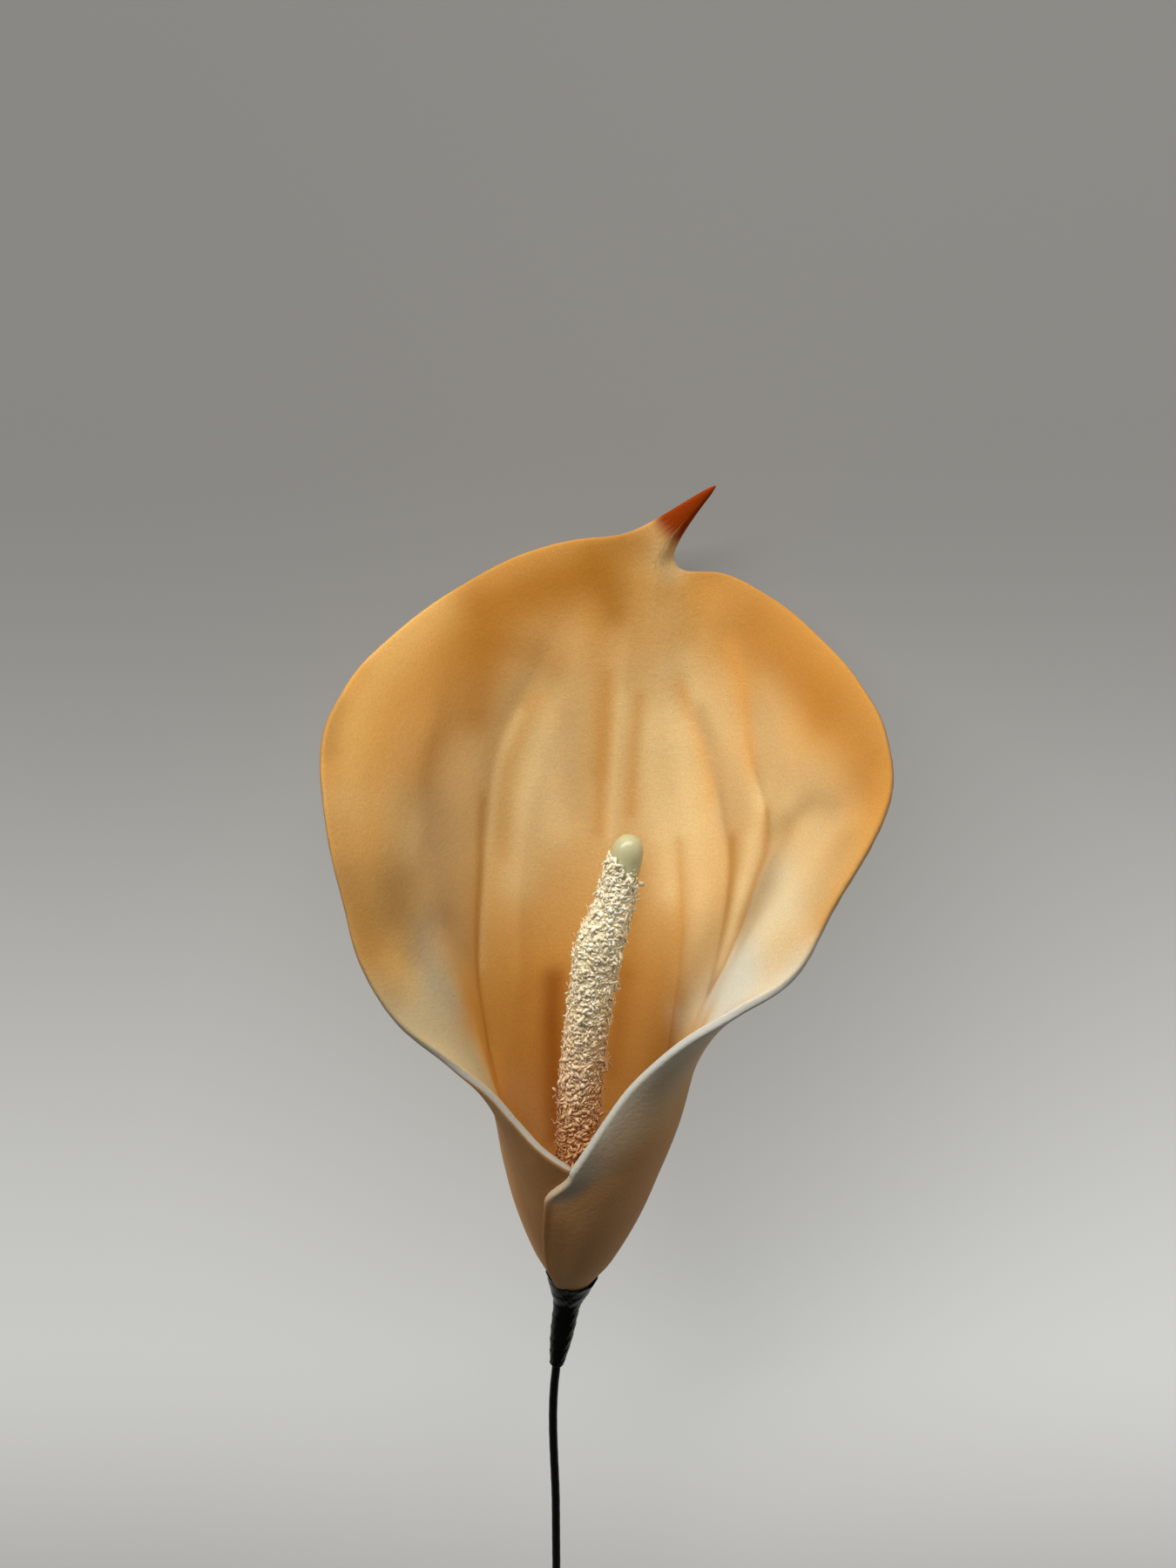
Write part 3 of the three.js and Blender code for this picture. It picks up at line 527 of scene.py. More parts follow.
def make_spathe(material):
    """The bloom as a closed sheet: both faces are the middle surface moved by half the thickness along its
    normal, and towards every cut edge the half thickness falls as a quarter round, so that the faces meet
    there."""
    along = np.array([0, 14, 28, 42, 56, 72, 90.0])
    edge_in = EDGE * (1 - np.cos(np.radians(along)))
    edge_full = np.sin(np.radians(along)) ** EDGE_POWER
    base_phi = sheet_columns(SHEET_COLUMNS)
    base_t = np.linspace(0, 1, SHEET_ROWS) ** ROW_POWER
    # length of each meridian, and the slant of the rim across it, which widens the rounded strip
    meridians = sheet_point(base_phi[:, None], np.linspace(0, 1, 80)[None])
    length = np.linalg.norm(np.diff(meridians, axis=1), axis=2).sum(1)
    rim_t = np.ones_like(base_phi)
    rim_run = sheet_point(base_phi + SMALL_TURN, rim_t) - sheet_point(base_phi - SMALL_TURN, rim_t)
    rim_rise = sheet_point(base_phi, rim_t) - sheet_point(base_phi, 0.996 * rim_t)
    slant = np.linalg.norm(np.cross(unit(rim_run), unit(rim_rise)), axis=1)
    reach = 1 / np.clip(slant, LEAST_SLANT, 1)
    rim_edge = 1 - edge_in[::-1][None] * reach[:, None] / length[:, None]
    t_main = base_t[None, :-1] * rim_edge[:, :1]
    t = np.concatenate([t_main, rim_edge], 1)
    full_t = np.concatenate([np.ones(SHEET_ROWS - 1), edge_full[::-1]])
    full_t[0] = 0
    # the two side edges: the same strip in degrees, wider where the funnel is narrow
    y_of_row = FOOT_Y + (V_Y - FOOT_Y) * np.linspace(0, 1, t.shape[1])
    strip = np.degrees(1 / through(FUNNEL, y_of_row)) / (1 + lap_turn(y_of_row) / 180)
    left = -180 + edge_in[:, None] * strip[None]
    inside_phi = base_phi[1:-1, None] * (1 - EDGE * strip[None] / 180)
    phi = np.concatenate([left, inside_phi, -left[::-1]], 0)
    t = np.concatenate([np.repeat(t[:1], len(along), 0), t[1:-1], np.repeat(t[-1:], len(along), 0)], 0)
    full_phi = np.concatenate([edge_full, np.ones(SHEET_COLUMNS - 2), edge_full[::-1]])
    middle = sheet_point(phi, t)
    round_it = (sheet_point(np.minimum(phi + SMALL_TURN, 180), t)
                - sheet_point(np.maximum(phi - SMALL_TURN, -180), t))
    up_it = (sheet_point(phi, np.minimum(t + SMALL_RISE, 1))
             - sheet_point(phi, np.maximum(t - SMALL_RISE, 0)))
    normal = unit(np.cross(up_it, round_it))
    # the rounding goes by the true distance from the rim, which runs aslant to the rows at the tail
    rim_phi = np.interp(np.linspace(0, 1, RIM_SAMPLES), np.linspace(0, 1, SHEET_COLUMNS), base_phi)
    rim_line = sheet_point(rim_phi, np.ones(RIM_SAMPLES))
    apart = np.ones(phi.shape)
    for j in range(phi.shape[1]):
        if t[:, j].max() > RIM_ZONE:
            gap = np.linalg.norm(middle[:, j, None] - rim_line[None], axis=2).min(1)
            into = np.clip(gap / EDGE, 0, 1)
            apart[:, j] = np.sqrt(1 - (1 - into) ** 2) ** EDGE_POWER
    apart[:, -1] = 0
    foot_t = np.where(np.arange(phi.shape[1]) == 0, 0.0, 1.0)
    half = sheet_thickness(phi, t, middle[..., 1]) / 2 * full_phi[:, None] * foot_t[None] * apart
    outer = (middle + normal * half[..., None]).reshape(-1, 3)
    inner = (middle - normal * half[..., None]).reshape(-1, 3)
    rows, columns = phi.shape
    faces = quads(rows, columns)
    rim = np.zeros((rows, columns), bool)
    rim[[0, -1], :] = True
    rim[:, [0, -1]] = True
    shared = rim.ravel()
    index = np.where(shared, np.arange(rows * columns), 0)
    index[~shared] = rows * columns + np.arange((~shared).sum())
    points = np.concatenate([outer, inner[~shared]])
    inside = np.concatenate([np.where(shared, 1.0, 0.0), np.ones((~shared).sum())])
    # the rim's cut edge counts as the inner face, up to the middle of its round
    outer_cut = (apart < np.where(phi < 0, 0.6, 0.9)).ravel()
    edge = np.concatenate([outer_cut, (apart < 0.6).ravel()[~shared]])
    phi, t = [np.concatenate([v.ravel(), v.ravel()[~shared]]) for v in (phi, t)]
    beside = np.abs(phi)
    inside[~edge & (beside > 179.5)] = 0
    colour, density = paint(points, phi, t, np.maximum(inside, edge))
    # painted shade on cut edges: the shade tone on the left ones, and burnt on the lobes' ones, partly their
    # paint, where the lamp catches them
    lay(colour, density, "shade", 0.75 * edge * past(-phi, 75, 20))
    lobes = past(np.abs(phi - TAIL_AT), 14, 6) * until(beside, 95, 15)
    lay(colour, density, "burnt", 0.55 * edge * lobes)
    tail = tail_pull(phi, t) * np.where(phi < TAIL_AT, 0.6, -1.0)
    pale_edge = edge * np.clip(0.25 + 0.75 * past(beside, 100, 15) + tail, 0, 1)
    pale_edge = pale_edge * (1 - dipped(points)) * past(points[:, 1], 24, 10)
    return build_piece("bloom_sheet", points, [faces, index[faces][:, ::-1]], material,
                       ["spathe"], {"density": density, "cut": pale_edge}, colour)


def new_material(name):
    material = bpy.data.materials.new(name)
    material.use_nodes = True
    tree = material.node_tree
    tree.nodes.clear()
    output = tree.nodes.new("ShaderNodeOutputMaterial")
    shader = tree.nodes.new("ShaderNodeBsdfPrincipled")
    tree.links.new(shader.outputs["BSDF"], output.inputs["Surface"])
    return material, tree, shader


def add(tree, kind, settings=None, **inputs):
    """A node with its settings, and its inputs as values or as links from other nodes' outputs."""
    node = tree.nodes.new(kind)
    for key, value in (settings or {}).items():
        setattr(node, key, value)
    for key, value in inputs.items():
        socket = node.inputs[key.replace("_", " ")]
        if isinstance(value, bpy.types.NodeSocket):
            tree.links.new(value, socket)
        else:
            socket.default_value = value
    return node


def mix(tree, factor, a, b, blend="MIX"):
    """Colour a blended with colour b by a factor."""
    node = tree.nodes.new("ShaderNodeMix")
    node.data_type = "RGBA"
    node.blend_type = blend
    for socket, value in zip((node.inputs[0], node.inputs[6], node.inputs[7]), (factor, a, b)):
        if isinstance(value, bpy.types.NodeSocket):
            tree.links.new(value, socket)
        else:
            socket.default_value = value
    return node.outputs[2]


def math_node(tree, operation, *values, clamp=False):
    node = tree.nodes.new("ShaderNodeMath")
    node.operation = operation
    node.use_clamp = clamp
    for socket, value in zip(node.inputs, values):
        if isinstance(value, bpy.types.NodeSocket):
            tree.links.new(value, socket)
        else:
            socket.default_value = value
    return node.outputs[0]


def grain_group():
    """Fine grain for any finish: a height from a fine and a coarse noise, a cloudy mask and a speckle."""
    group = bpy.data.node_groups.new("grain_and_cloud", "ShaderNodeTree")
    for name, value in (("Fine", 1500.0), ("Coarse", 420.0), ("Cloud", 60.0)):
        group.interface.new_socket(name, in_out="INPUT", socket_type="NodeSocketFloat").default_value = value
    for name in ("Height", "Cloud", "Speckle"):
        group.interface.new_socket(name, in_out="OUTPUT", socket_type="NodeSocketFloat")
    start = group.nodes.new("NodeGroupInput")
    end = group.nodes.new("NodeGroupOutput")
    coordinates = group.nodes.new("ShaderNodeTexCoord").outputs["Object"]
    noises = []
    for name, detail in (("Fine", 2.0), ("Coarse", 3.0), ("Cloud", 3.0)):
        noise = add(group, "ShaderNodeTexNoise", Vector=coordinates, Scale=start.outputs[name], Detail=detail)
        noises.append(noise.outputs["Fac"])
    fine, coarse, cloud = noises
    height = math_node(group, "ADD", math_node(group, "MULTIPLY", fine, 0.5), coarse)
    group.links.new(height, end.inputs["Height"])
    group.links.new(cloud, end.inputs["Cloud"])
    group.links.new(fine, end.inputs["Speckle"])
    return group


GRAIN = grain_group()


def grain(tree, fine, coarse, cloud):
    node = tree.nodes.new("ShaderNodeGroup")
    node.node_tree = GRAIN
    node.inputs["Fine"].default_value = fine
    node.inputs["Coarse"].default_value = coarse
    node.inputs["Cloud"].default_value = cloud
    return node


def attribute(tree, name, output="Fac"):
    return add(tree, "ShaderNodeAttribute", {"attribute_name": name}).outputs[output]


def rising(tree, value, low, high):
    """0 below one value and 1 above another, with no corner between."""
    return add(tree, "ShaderNodeMapRange", {"interpolation_type": "SMOOTHSTEP"}, Value=value, From_Min=low,
               From_Max=high).outputs["Result"]


def scaled(tree, value, slope, start):
    """slope * value + start."""
    return math_node(tree, "ADD", math_node(tree, "MULTIPLY", value, slope), start)


def set_surface(tree, shader, texture, colour, roughness, strength, depth, shine=0.5):
    """Colour, roughness, a bump of the grain by its strength and depth in metres, and specular level."""
    tree.links.new(colour, shader.inputs["Base Color"])
    tree.links.new(roughness, shader.inputs["Roughness"])
    bump = add(tree, "ShaderNodeBump", Strength=strength, Distance=depth, Height=texture.outputs["Height"])
    tree.links.new(bump.outputs["Normal"], shader.inputs["Normal"])
    shader.inputs["Specular IOR Level"].default_value = shine


def let_light_in(shader, weight, depths):
    """Light under the surface: its share, and how deep red, green and blue go, in metres."""
    shader.inputs["Subsurface Weight"].default_value = weight
    shader.inputs["Subsurface Radius"].default_value = depths
    shader.inputs["Subsurface Scale"].default_value = 1.0


def foam_material():
    """Craft foam: cream stock with airbrushed tones that break up into a fine speckle at their edges, a
    grain of burst cells, and a little light through the sheet."""
    material, tree, shader = new_material("airbrushed_foam")
    texture = grain(tree, 2600.0, 900.0, 70.0)
    speckle = math_node(tree, "SUBTRACT", texture.outputs["Speckle"], 0.5)
    cloud = math_node(tree, "SUBTRACT", texture.outputs["Cloud"], 0.5)
    density = attribute(tree, "density")
    bare = math_node(tree, "MULTIPLY", density, math_node(tree, "MULTIPLY", speckle, 1.6), clamp=True)
    colour = mix(tree, bare, attribute(tree, "paint", "Color"), linear(TONES["cream"]))
    dark = math_node(tree, "MULTIPLY", density, math_node(tree, "MULTIPLY", speckle, -1.4), clamp=True)
    colour = mix(tree, dark, colour, linear(TONES["burnt"]))
    tone = math_node(tree, "ADD", math_node(tree, "MULTIPLY", speckle, 0.35),
                     math_node(tree, "MULTIPLY", cloud, 0.12))
    tone = math_node(tree, "ADD", tone, 1.0)
    mottle = tree.nodes.new("ShaderNodeCombineColor")
    for socket in mottle.inputs:
        tree.links.new(tone, socket)
    colour = mix(tree, 1.0, colour, mottle.outputs["Color"], "MULTIPLY")
    cut = math_node(tree, "MULTIPLY", attribute(tree, "cut"), 0.7)
    colour = mix(tree, cut, colour, linear(TONES["edge"]))
    set_surface(tree, shader, texture, colour, scaled(tree, speckle, 0.25, 0.62), 0.35, 0.00025, 0.07)
    let_light_in(shader, 0.15, (0.003, 0.0016, 0.0007))
    return material


def curve_frames(course, count):
    """Evenly spaced points along a smooth curve through the course, with direction and two sides at each."""
    keys = np.concatenate([[0], np.cumsum(np.linalg.norm(np.diff(course, axis=0), axis=1))])
    table = [(k, *p) for k, p in zip(keys, course)]
    s = np.linspace(0, keys[-1], count * 8)
    line = np.stack([through(table, s, column) for column in (1, 2, 3)], 1)
    run = np.concatenate([[0], np.cumsum(np.linalg.norm(np.diff(line, axis=0), axis=1))])
    even = np.linspace(0, run[-1], count)
    points = np.stack([np.interp(even, run, line[:, k]) for k in range(3)], 1)
    tangent = unit(np.gradient(points, axis=0))
    side = unit(np.cross([0, 0, 1.0], tangent))
    return points, tangent, side, np.cross(tangent, side), run[-1]


def tube(points, side, other, radius):
    """A grid of points round a line: centre + radius * (cos * side + sin * other)."""
    turn = np.linspace(0, 2 * np.pi, radius.shape[1], endpoint=False)
    return (points[:, None] + radius[..., None] * (np.cos(turn)[None, :, None] * side[:, None]
                                                   + np.sin(turn)[None, :, None] * other[:, None]))


def ring_faces(rings, sides, closed=False):
    """Quads between the rings of a tube, and fans over both ends unless the last ring joins the first."""
    i = np.arange(rings if closed else rings - 1)
    k = np.arange(sides)
    a, b = np.meshgrid(i, k, indexing="ij")
    here, above = a * sides, (a + 1) % rings * sides
    beside = (b + 1) % sides
    body = np.stack([here + b, here + beside, above + beside, above + b], -1).reshape(-1, 4)
    if closed:
        return [body]
    first = rings * sides
    start = np.stack([np.full(sides, first), (k + 1) % sides, k], 1)
    base = (rings - 1) * sides
    end = np.stack([np.full(sides, first + 1), base + k, base + (k + 1) % sides], 1)
    return [body, start, end]


def core_radius(share):
    return CORE_R - (CORE_R - CORE_TOP_R) * past(share, CORE_NARROWS, 1 - CORE_NARROWS)


def tip_round(along, length):
    """What the rounded tip leaves of the stick's radius at a length along it: cos^0.8 over the tip."""
    into_tip = np.clip((along - (length - CORE_TIP)) / CORE_TIP, 0, 0.9995)
    return np.cos(np.arcsin(into_tip)) ** 0.8


def make_core(material):
    """The cast stick: a round section along the spadix's course, which narrows upwards, and radius *
    cos^0.8 over the rounded tip."""
    count, sides = 260, 48
    points, tangent, side, other, length = curve_frames(SPADIX_COURSE, count)
    s = np.linspace(0, length, count)
    turn = np.linspace(0, 2 * np.pi, sides, endpoint=False)[None]
    radius = core_radius(s / length) * tip_round(s, length)
    uneven = 1 + 0.012 * np.sin(s[:, None] * 0.35 + 2 * turn) + 0.01 * np.sin(s[:, None] * 0.9 - turn)
    surface = tube(points, side, other, radius[:, None] * uneven).reshape(-1, 3)
    surface = np.concatenate([surface, points[:1], points[-1:]])
    share = np.concatenate([np.repeat(s / length, sides), [0, 1]])
    return build_piece("spadix_stick", surface, ring_faces(count, sides), material,
                       ["spadix_core"], {"height": share})


def coat_bed(share, turn):
    """How far the flakes' bed of glue stands off the stick: a thin coat, and a heap high on its left."""
    heap = np.exp(-(((share - HEAP_AT) / np.where(share < HEAP_AT, 0.1, 0.045)) ** 2))
    return BED_DEPTH + HEAP_DEPTH * heap * np.clip(np.cos(turn - FLAKES_HIGH_AT), 0, 1)


def coat_end(turn):
    """The share of the stick at which the coat ends raggedly, higher on its left."""
    return 0.03 * np.cos(turn - FLAKES_HIGH_AT) + 0.008 * np.sin(turn * 3 + 1) + 0.006 * np.sin(turn * 7)


def make_flakes(material):
    """Crushed flakes glued round the stick: thin chips of three sections, which lie on it at seeded angles
    like a loose mosaic, a few of them standing up, over a thin bed of glue whose ends sink into the
    stick."""
    rng = np.random.default_rng(FLAKE_SEED)
    count = FLAKES
    points, tangent, side, other, length = curve_frames(SPADIX_COURSE, 600)
    share = rng.random(count)
    turn = rng.random(count) * 2 * np.pi
    keep = rng.random(count) < np.clip((0.985 + coat_end(turn) - share) / 0.03, 0, 1)
    share = COAT_FROM + share[keep] * (COAT_TO - COAT_FROM)
    turn = turn[keep]
    count = len(share)
    at = share * (len(points) - 1)
    low = at.astype(int)
    part = (at - low)[:, None]
    high = np.minimum(low + 1, len(points) - 1)
    centre = points[low] * (1 - part) + points[high] * part
    out = np.cos(turn)[:, None] * side[low] + np.sin(turn)[:, None] * other[low]
    across = np.cross(out, tangent[low])
    swing = rng.random(count) * 2 * np.pi
    run = tangent[low] * np.cos(swing)[:, None] + across * np.sin(swing)[:, None]
    wide = np.cross(out, run)
    # lengths and breadths in mm, mostly small; how far the chips lift, bend, twist and tilt
    long = np.clip(rng.lognormal(0.0, 0.4, count), 0.45, 2.2)
    broad = np.clip(long * rng.uniform(0.16, 0.42, count), 0.12, 0.48)
    thick = rng.uniform(0.04, 0.08, count)
    stands = rng.random(count) < FLAKES_STANDING
    lift = np.where(stands, rng.uniform(0.3, 0.9, count), np.abs(rng.normal(0, 0.045, count)))
    bend = rng.normal(0, 0.05, count)
    twist = rng.normal(0, 0.25, count)
    tilt = rng.normal(0, 0.1, count)
    bed = core_radius(share) + coat_bed(share, turn)
    reach = bed + COAT_DEPTH * rng.random(count)
    corners = []
    for along, narrow in ((-0.45, 0.5), (0.02, 1.0), (0.5, 0.4)):
        height = lift * (along + 0.45) + bend * (along + 0.45) ** 2 * 2
        spot = centre + out * (reach + height * long)[:, None] + run * (along * long)[:, None]
        # the section is as wide round the stick, so it is let down on both sides as the stick falls away
        fall = (along * long * np.sin(swing)) ** 2 / (2 * reach)
        spot = spot - out * fall[:, None]
        roll = tilt + twist * along
        flat = wide * np.cos(roll)[:, None] + out * np.sin(roll)[:, None]
        stand = np.cross(run, flat)
        half = broad * narrow * rng.uniform(0.7, 1.25, count)
        for sign, level in ((-1, -1), (1, -1), (1, 1), (-1, 1)):
            corners.append(spot + flat * (sign * half)[:, None] + stand * (level * thick / 2)[:, None])
    corners = np.stack(corners, 1)
    start = (np.arange(count) * CHIP_CORNERS)[:, None, None]
    ring = [[k + c, k + (c + 1) % 4, k + 4 + (c + 1) % 4, k + 4 + c] for k in (0, 4) for c in range(4)]
    faces = (start + np.array(ring + [[3, 2, 1, 0], [8, 9, 10, 11]])[None]).reshape(-1, 4)
    depth = np.repeat((reach - bed) / COAT_DEPTH, CHIP_CORNERS)
    # the bed: a tube round the stick, both of whose ends lie inside it
    rings, sides = 150, 40
    s = np.linspace(0, 0.985 * (len(points) - 1), rings).astype(int)
    up = s / (len(points) - 1)
    around = np.linspace(0, 2 * np.pi, sides, endpoint=False)
    last = COAT_FROM + (0.965 + coat_end(around)) * (COAT_TO - COAT_FROM)
    cover = until(up[:, None], last[None], 0.02) * past(up[:, None], COAT_FROM, 0.01)
    lumps = 0.05 * np.sin(up[:, None] * 240 + 3 * around[None]) * np.sin(up[:, None] * 90 - 5 * around[None])
    stick = (core_radius(up) * tip_round(up * length, length))[:, None]
    bed_radius = stick * (0.9 + 0.1 * cover) + (coat_bed(up[:, None], around[None]) + lumps) * cover
    tube_points = tube(points[s], side[s], other[s], bed_radius).reshape(-1, 3)
    bed_points = np.concatenate([tube_points, points[s[:1]], points[s[-1:]]])
    bed_up = np.concatenate([np.repeat(up, sides), up[[0, -1]]])
    first = count * CHIP_CORNERS
    tint = np.repeat(rng.random(count), CHIP_CORNERS)
    return build_piece("spadix_crust", np.concatenate([corners.reshape(-1, 3), bed_points]),
                       [faces] + [part_faces + first for part_faces in ring_faces(rings, sides)],
                       material, ["spadix_flakes"],
                       {"tint": np.concatenate([tint, np.full(len(bed_up), 0.5)]),
                        "height": np.concatenate([np.repeat(share, CHIP_CORNERS), bed_up]),
                        "outer": np.concatenate([depth, np.zeros(len(bed_up))])})


def flake_material():
    """Crushed flakes: off-white at the top, peach-brown towards the throat, each a little different, darker
    where they lie deep as painted shade between them, with a soft glint."""
    material, tree, shader = new_material("crushed_flakes")
    tint = attribute(tree, "tint")
    texture = grain(tree, 1800.0, 700.0, 120.0)
    up = rising(tree, attribute(tree, "height"), 0.1, 0.76)
    light = mix(tree, up, linear((224, 160, 94)), linear((255, 250, 230)))
    dull = mix(tree, up, linear((196, 132, 68)), linear((249, 231, 190)))
    shadowed = mix(tree, up, linear((190, 130, 62)), linear((242, 226, 176)))
    deep = add(tree, "ShaderNodeMapRange", {}, Value=attribute(tree, "outer"), From_Min=0.0, From_Max=0.5,
               To_Min=0.6, To_Max=0.0)
    colour = mix(tree, deep.outputs["Result"], mix(tree, tint, light, dull), shadowed)
    set_surface(tree, shader, texture, colour, scaled(tree, tint, 0.35, 0.3), 0.2, 0.0002, 0.3)
    return material


def stick_material():
    """Cast stick: pale green, waxy and translucent, with faint clouds and a soft gloss."""
    material, tree, shader = new_material("translucent_stick")
    texture = grain(tree, 900.0, 260.0, 90.0)
    green = mix(tree, texture.outputs["Cloud"], linear((180, 174, 128)), linear((202, 196, 158)))
    # peach-brown towards the foot: partly its own tint, partly painted reflection of the orange throat
    colour = mix(tree, rising(tree, attribute(tree, "height"), 0.2, 0.8), linear((190, 134, 78)), green)
    roughness = scaled(tree, texture.outputs["Speckle"], 0.15, 0.22)
    set_surface(tree, shader, texture, colour, roughness, 0.15, 0.0002)
    let_light_in(shader, 0.6, (0.004, 0.004, 0.002))
    return material


def tape_axis(y):
    """Points of the tape's own axis at heights: it leans left going down."""
    x = 0.5 + (y - TAPE_TOP) * math.tan(math.radians(TAPE_LEAN_DEG))
    return np.stack([x, y, np.zeros_like(y)], -1)


TAPE_OUTLINE = [
    (TAPE_END, 1.6), (-20, 1.95), (-16, 2.45), (-11, 2.8), (-6, 3.05), (-4, 3.35), (-2, 4.1), (0, 4.8),
    (2, 5.5), (TAPE_TOP, 5.95),
]
TAPE_THICK = 0.28
TAPE_PITCH = 3.4


def make_tape(material):
    """The wound tape: the outline's radius plus a saw-tooth step for every turn of the strip and small
    wrinkles along it, down the outside and up the inside one thickness deeper, with a ragged upper edge."""
    rings, sides = 260, 96
    down = np.linspace(0, 1, rings)
    turn = np.linspace(0, 2 * np.pi, sides, endpoint=False)
    y = TAPE_TOP + (TAPE_END - TAPE_TOP) * down
    winding = (y[:, None] / TAPE_PITCH + turn[None] / (2 * np.pi)) % 1.0
    step = 0.09 * winding ** 1.6
    wrinkle = (0.03 * np.sin(turn[None] * 9 + y[:, None] * 1.7)
               + 0.015 * np.sin(turn[None] * 17 - y[:, None] * 2.9))
    radius = through(sorted(TAPE_OUTLINE), y)[:, None] + step + wrinkle
    ragged = 0.35 * np.sin(3 * turn + 0.8) + 0.2 * np.sin(7 * turn) + 0.12 * np.sin(13 * turn + 2)
    reach = smooth(1 - down / 0.08)[:, None] * ragged[None]
    axis = tape_axis(y)
    tangent = unit(np.gradient(axis, axis=0))
    side = unit(np.cross([0, 0, 1.0], tangent))
    other = np.cross(tangent, side)
    drop = reach[..., None] * tangent[:, None]
    outer = tube(axis, side, other, radius) - drop
    inner = tube(axis, side, other, np.maximum(radius - TAPE_THICK, WIRE_R + 0.05)) - drop
    points = np.concatenate([outer, inner[::-1]]).reshape(-1, 3)
    return build_piece("foot_tape", points, ring_faces(2 * rings, sides, closed=True), material,
                       ["tape_wrap"])


def tape_material():
    """Stretched black tape: glossy, with faint stretch lines round it and scuffed spots."""
    material, tree, shader = new_material("black_tape")
    texture = grain(tree, 1200.0, 380.0, 160.0)
    cloud = texture.outputs["Cloud"]
    colour = mix(tree, cloud, linear((2, 3, 1)), linear((8, 10, 6)))
    set_surface(tree, shader, texture, colour, scaled(tree, cloud, 0.2, 0.1), 0.12, 0.0002, 0.07)
    return material


def wire_course():
    """The wire's route: from its cut end, as low as the shoulders, up through the tape into the spadix."""
    solid = np.array([v.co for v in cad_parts["stem_wire"].data.vertices])
    end = solid[np.abs(solid[:, 1] - solid[:, 1].min()) < 0.0006].mean(0) / MM
    end_z = float((TURN.T @ (end - SHIFT))[2])
    tape_foot = tape_axis(np.array([TAPE_END]))[0]
    tape_middle = tape_axis(np.array([TAPE_END + 0.55 * (TAPE_TOP - TAPE_END)]))[0]
    return [
        (STEM_X, WIRE_END, end_z),
        (STEM_X, (WIRE_END * 2 + TAPE_END) / 3, end_z * 0.45),
        (STEM_X, (WIRE_END + TAPE_END * 2) / 3, end_z * 0.1),
        (STEM_X, TAPE_END - 5, 0),
        tuple(tape_foot),
        tuple(tape_middle),
        (0.25, TAPE_TOP, 0),
        (0.9, SPADIX_COURSE[0][1], 0),
    ]


def make_wire(material, steel):
    """The coated wire: a round section along its route, with the steel core bare on the cut end."""
    count, sides = 420, 28
    points, tangent, side, other, length = curve_frames(wire_course(), count)
    s = np.linspace(0, length, count)
    turn = np.linspace(0, 2 * np.pi, sides, endpoint=False)
    radius = np.full((count, sides), WIRE_R) + 0.012 * np.sin(s[:, None] * 1.3 + 3 * turn[None])
    # the cut end: the coat stops square, and the steel core stands out of it by a hair
    lead = np.array([[0.0, 0.72], [0.02, 0.80], [0.25, 0.80], [0.26, 0.96], [0.34, 1.0]])
    front = [points[0] + tangent[0] * x for x, _ in lead]
    first = np.stack([tube(p[None], side[:1], other[:1], np.full((1, sides), r))[0]
                      for p, (_, r) in zip(front, lead)])
    surface = np.concatenate([first, tube(points, side, other, radius)[2:]])
    rings = len(surface)
    all_points = np.concatenate([surface.reshape(-1, 3), points[:1], points[-1:]])
    piece = build_piece("wire_stem", all_points, ring_faces(rings, sides), material,
                        ["stem_wire"])
    piece.data.materials.append(steel)
    index = np.zeros(len(piece.data.polygons), np.int32)
    index[: 2 * sides] = 1
    cap = (rings - 1) * sides
    index[cap:cap + sides] = 1
    piece.data.polygons.foreach_set("material_index", index)
    return piece


def wire_material():
    """Green-black coating: half matt, with a fine drag along it and lighter rubbed spots."""
    material, tree, shader = new_material("coated_wire")
    texture = grain(tree, 1500.0, 500.0, 45.0)
    cloud = texture.outputs["Cloud"]
    colour = mix(tree, cloud, linear((3, 4, 1)), linear((11, 13, 6)))
    set_surface(tree, shader, texture, colour, scaled(tree, cloud, 0.3, 0.3), 0.2, 0.0002, 0.1)
    return material


def steel_material():
    """The bare steel core on the cut end: grey, ground by the cutter."""
    material, tree, shader = new_material("cut_steel")
    texture = grain(tree, 2500.0, 900.0, 300.0)
    colour = mix(tree, texture.outputs["Cloud"], linear((120, 120, 118)), linear((170, 170, 166)))
    tree.links.new(colour, shader.inputs["Base Color"])
    tree.links.new(scaled(tree, texture.outputs["Speckle"], 0.3, 0.25), shader.inputs["Roughness"])
    shader.inputs["Metallic"].default_value = 1.0
    return material


def glue_material():
    """Set hot glue: milky and slightly yellow."""
    material, tree, shader = new_material("set_glue")
    texture = grain(tree, 800.0, 200.0, 60.0)
    cloud = texture.outputs["Cloud"]
    colour = mix(tree, cloud, linear((206, 196, 160)), linear((226, 220, 198)))
    set_surface(tree, shader, texture, colour, scaled(tree, cloud, 0.2, 0.2), 0.3, 0.0004)
    return material


CAMERA_LIFT = 25          # degrees above the bloom's open front
CAMERA_AWAY = 500
AIM_RIGHT = 4.2
AIM_UP = 115


def make_camera():
    """A camera above the bloom's open front, whose optical axis passes through the middle of the bloom."""
    lift = math.radians(CAMERA_LIFT)
    up = np.array([0, math.cos(lift), -math.sin(lift)])
    back = np.array([0, math.sin(lift), math.cos(lift)])
    aim = np.array([AIM_RIGHT, 0, 0]) + up * AIM_UP
    data = bpy.data.cameras.new("camera")
    data.lens = 50
    data.sensor_width = 36
    data.clip_start = 0.01
    data.clip_end = 50
    camera = bpy.data.objects.new("camera", data)
    bpy.context.scene.collection.objects.link(camera)
    right = np.array([1.0, 0, 0])
    axes = np.stack([TURN @ right, TURN @ up, TURN @ back], 1)
    matrix = Matrix(axes.tolist()).to_4x4()
    matrix.translation = Vector(place(aim + back * CAMERA_AWAY))
    camera.matrix_world = matrix
    bpy.context.scene.camera = camera


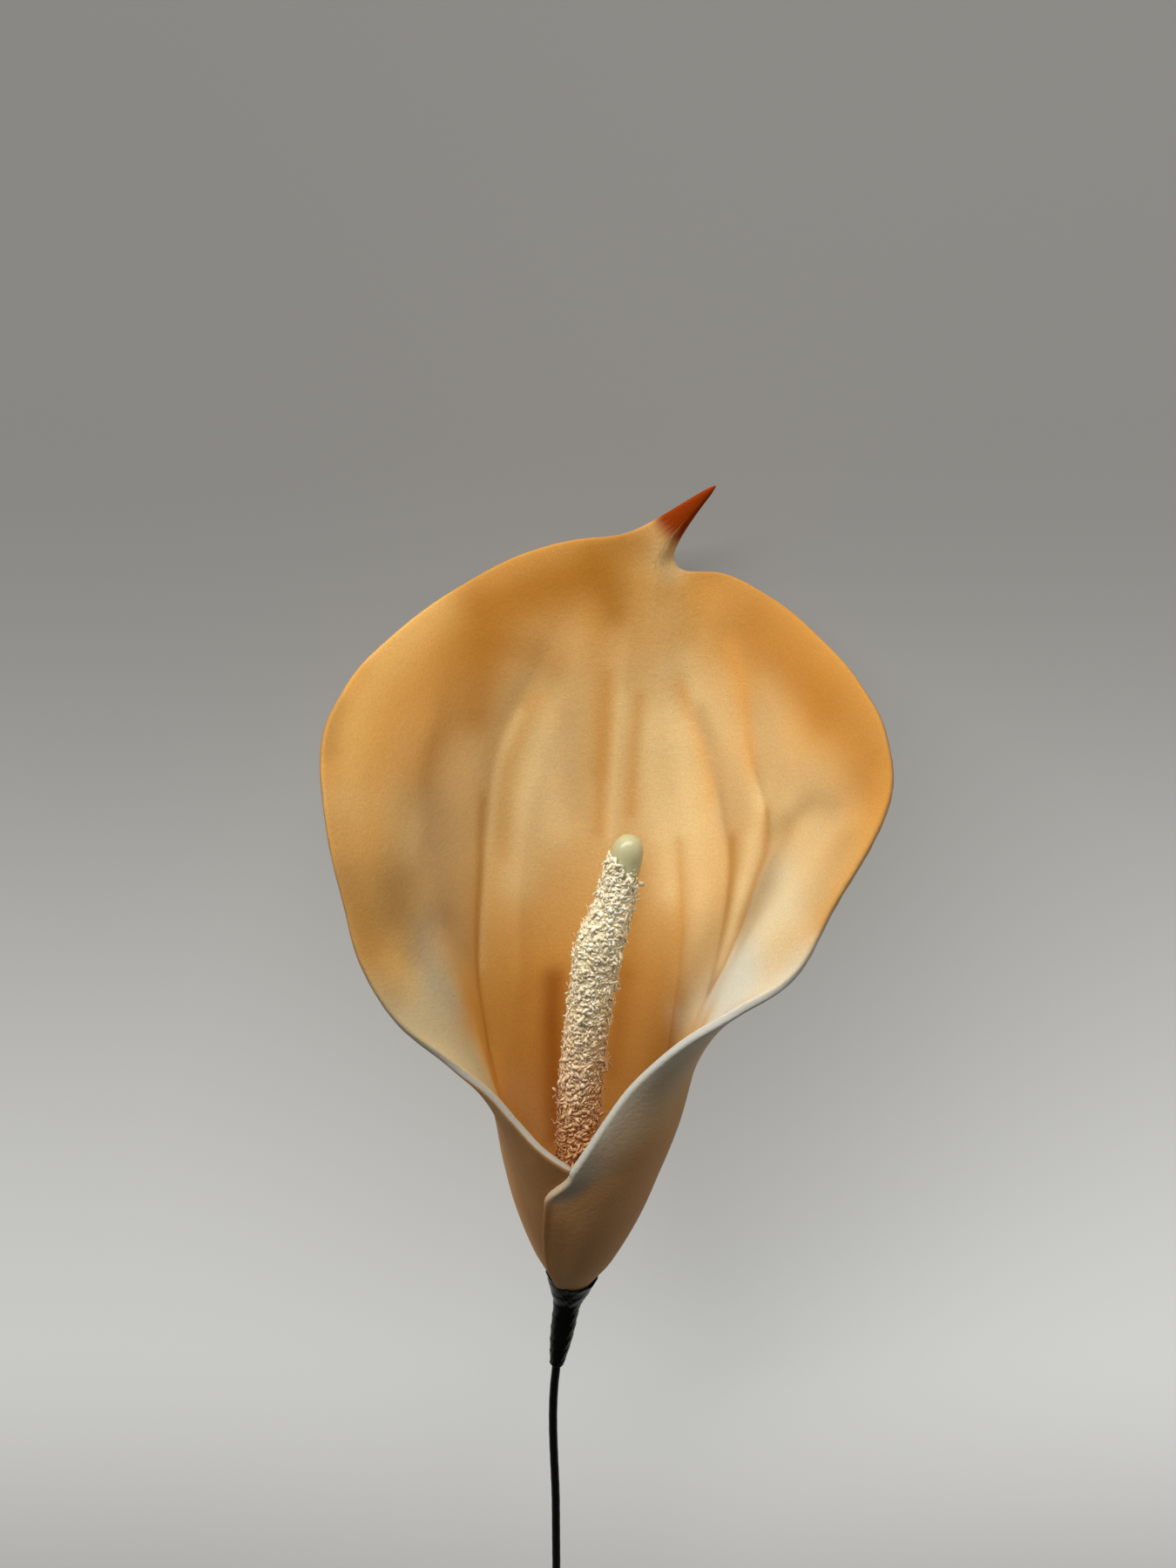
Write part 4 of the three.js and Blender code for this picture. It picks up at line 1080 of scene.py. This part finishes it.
def soft_light(name, direction, distance, wide, tall, power, colour):
    """A rectangular soft light that faces the bloom, from a direction of the flower's frame."""
    data = bpy.data.lights.new(name, "AREA")
    data.shape = "RECTANGLE"
    data.size = wide
    data.size_y = tall
    data.energy = power
    data.color = colour
    light = bpy.data.objects.new(name, data)
    bpy.context.scene.collection.objects.link(light)
    way = Vector(TURN @ unit(np.array(direction, float)))
    light.location = Vector(place((3, 90, 0))) + way * distance
    light.rotation_euler = way.to_track_quat("Z", "Y").to_euler()


def make_stage():
    """A plain pale floor, darker away from the wire's end and on its left as painted shade, which glows a
    little as painted light so that shadows on it are soft, and weak light all round."""
    mesh = bpy.data.meshes.new("floor")
    reach = 3.0
    corners = [(-reach, -reach, 0), (reach, -reach, 0), (reach, reach, 0), (-reach, reach, 0)]
    mesh.from_pydata(corners, [], [(0, 1, 2, 3)])
    floor = bpy.data.objects.new("floor", mesh)
    bpy.context.scene.collection.objects.link(floor)
    material, tree, shader = new_material("pale_floor")
    where = add(tree, "ShaderNodeSeparateXYZ", Vector=tree.nodes.new("ShaderNodeTexCoord").outputs["Object"])
    far = rising(tree, where.outputs["Y"], -0.06, 0.18)
    near = rising(tree, where.outputs["Y"], -0.15, -0.04)
    colour = mix(tree, near, linear((138, 137, 135)), linear((166, 166, 163)))
    colour = mix(tree, far, colour, linear((94, 93, 89)))
    aside = add(tree, "ShaderNodeMapRange", {"interpolation_type": "SMOOTHSTEP"}, Value=where.outputs["X"],
                From_Min=-0.13, From_Max=0.05, To_Min=0.3, To_Max=0.0)
    colour = mix(tree, aside.outputs["Result"], colour, linear((70, 69, 66)))
    tree.links.new(colour, shader.inputs["Base Color"])
    glow = mix(tree, near, linear((134, 132, 130)), linear((167, 167, 164)))
    glow = mix(tree, far, glow, linear((112, 110, 107)))
    tree.links.new(glow, shader.inputs["Emission Color"])
    shader.inputs["Emission Strength"].default_value = 1.0
    shader.inputs["Roughness"].default_value = 0.9
    mesh.materials.append(material)
    world = bpy.data.worlds.new("studio")
    world.use_nodes = True
    background = world.node_tree.nodes["Background"]
    background.inputs["Color"].default_value = (0.93, 0.96, 1.0, 1)
    background.inputs["Strength"].default_value = 0.1
    bpy.context.scene.world = world


make_camera()
make_stage()
soft_light("key", (-0.25, 0.91, 0.33), 3.0, 4.8, 0.8, 155.0, (1.0, 0.99, 0.97))
soft_light("left", (-0.9, 0.2, 0.35), 1.0, 0.8, 0.5, 0.15, (1.0, 1.0, 1.0))
soft_light("right", (0.9, 0.2, 0.35), 1.0, 0.8, 0.5, 1.0, (1.0, 1.0, 1.0))
make_spathe(foam_material())
make_core(stick_material())
make_flakes(flake_material())
make_tape(tape_material())
make_wire(wire_material(), steel_material())
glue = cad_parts["glue_plug"]
set_glue = glue_material()
for glue_slot in glue.material_slots:
    glue_slot.material = set_glue
bpy.context.scene.view_settings.view_transform = "Standard"
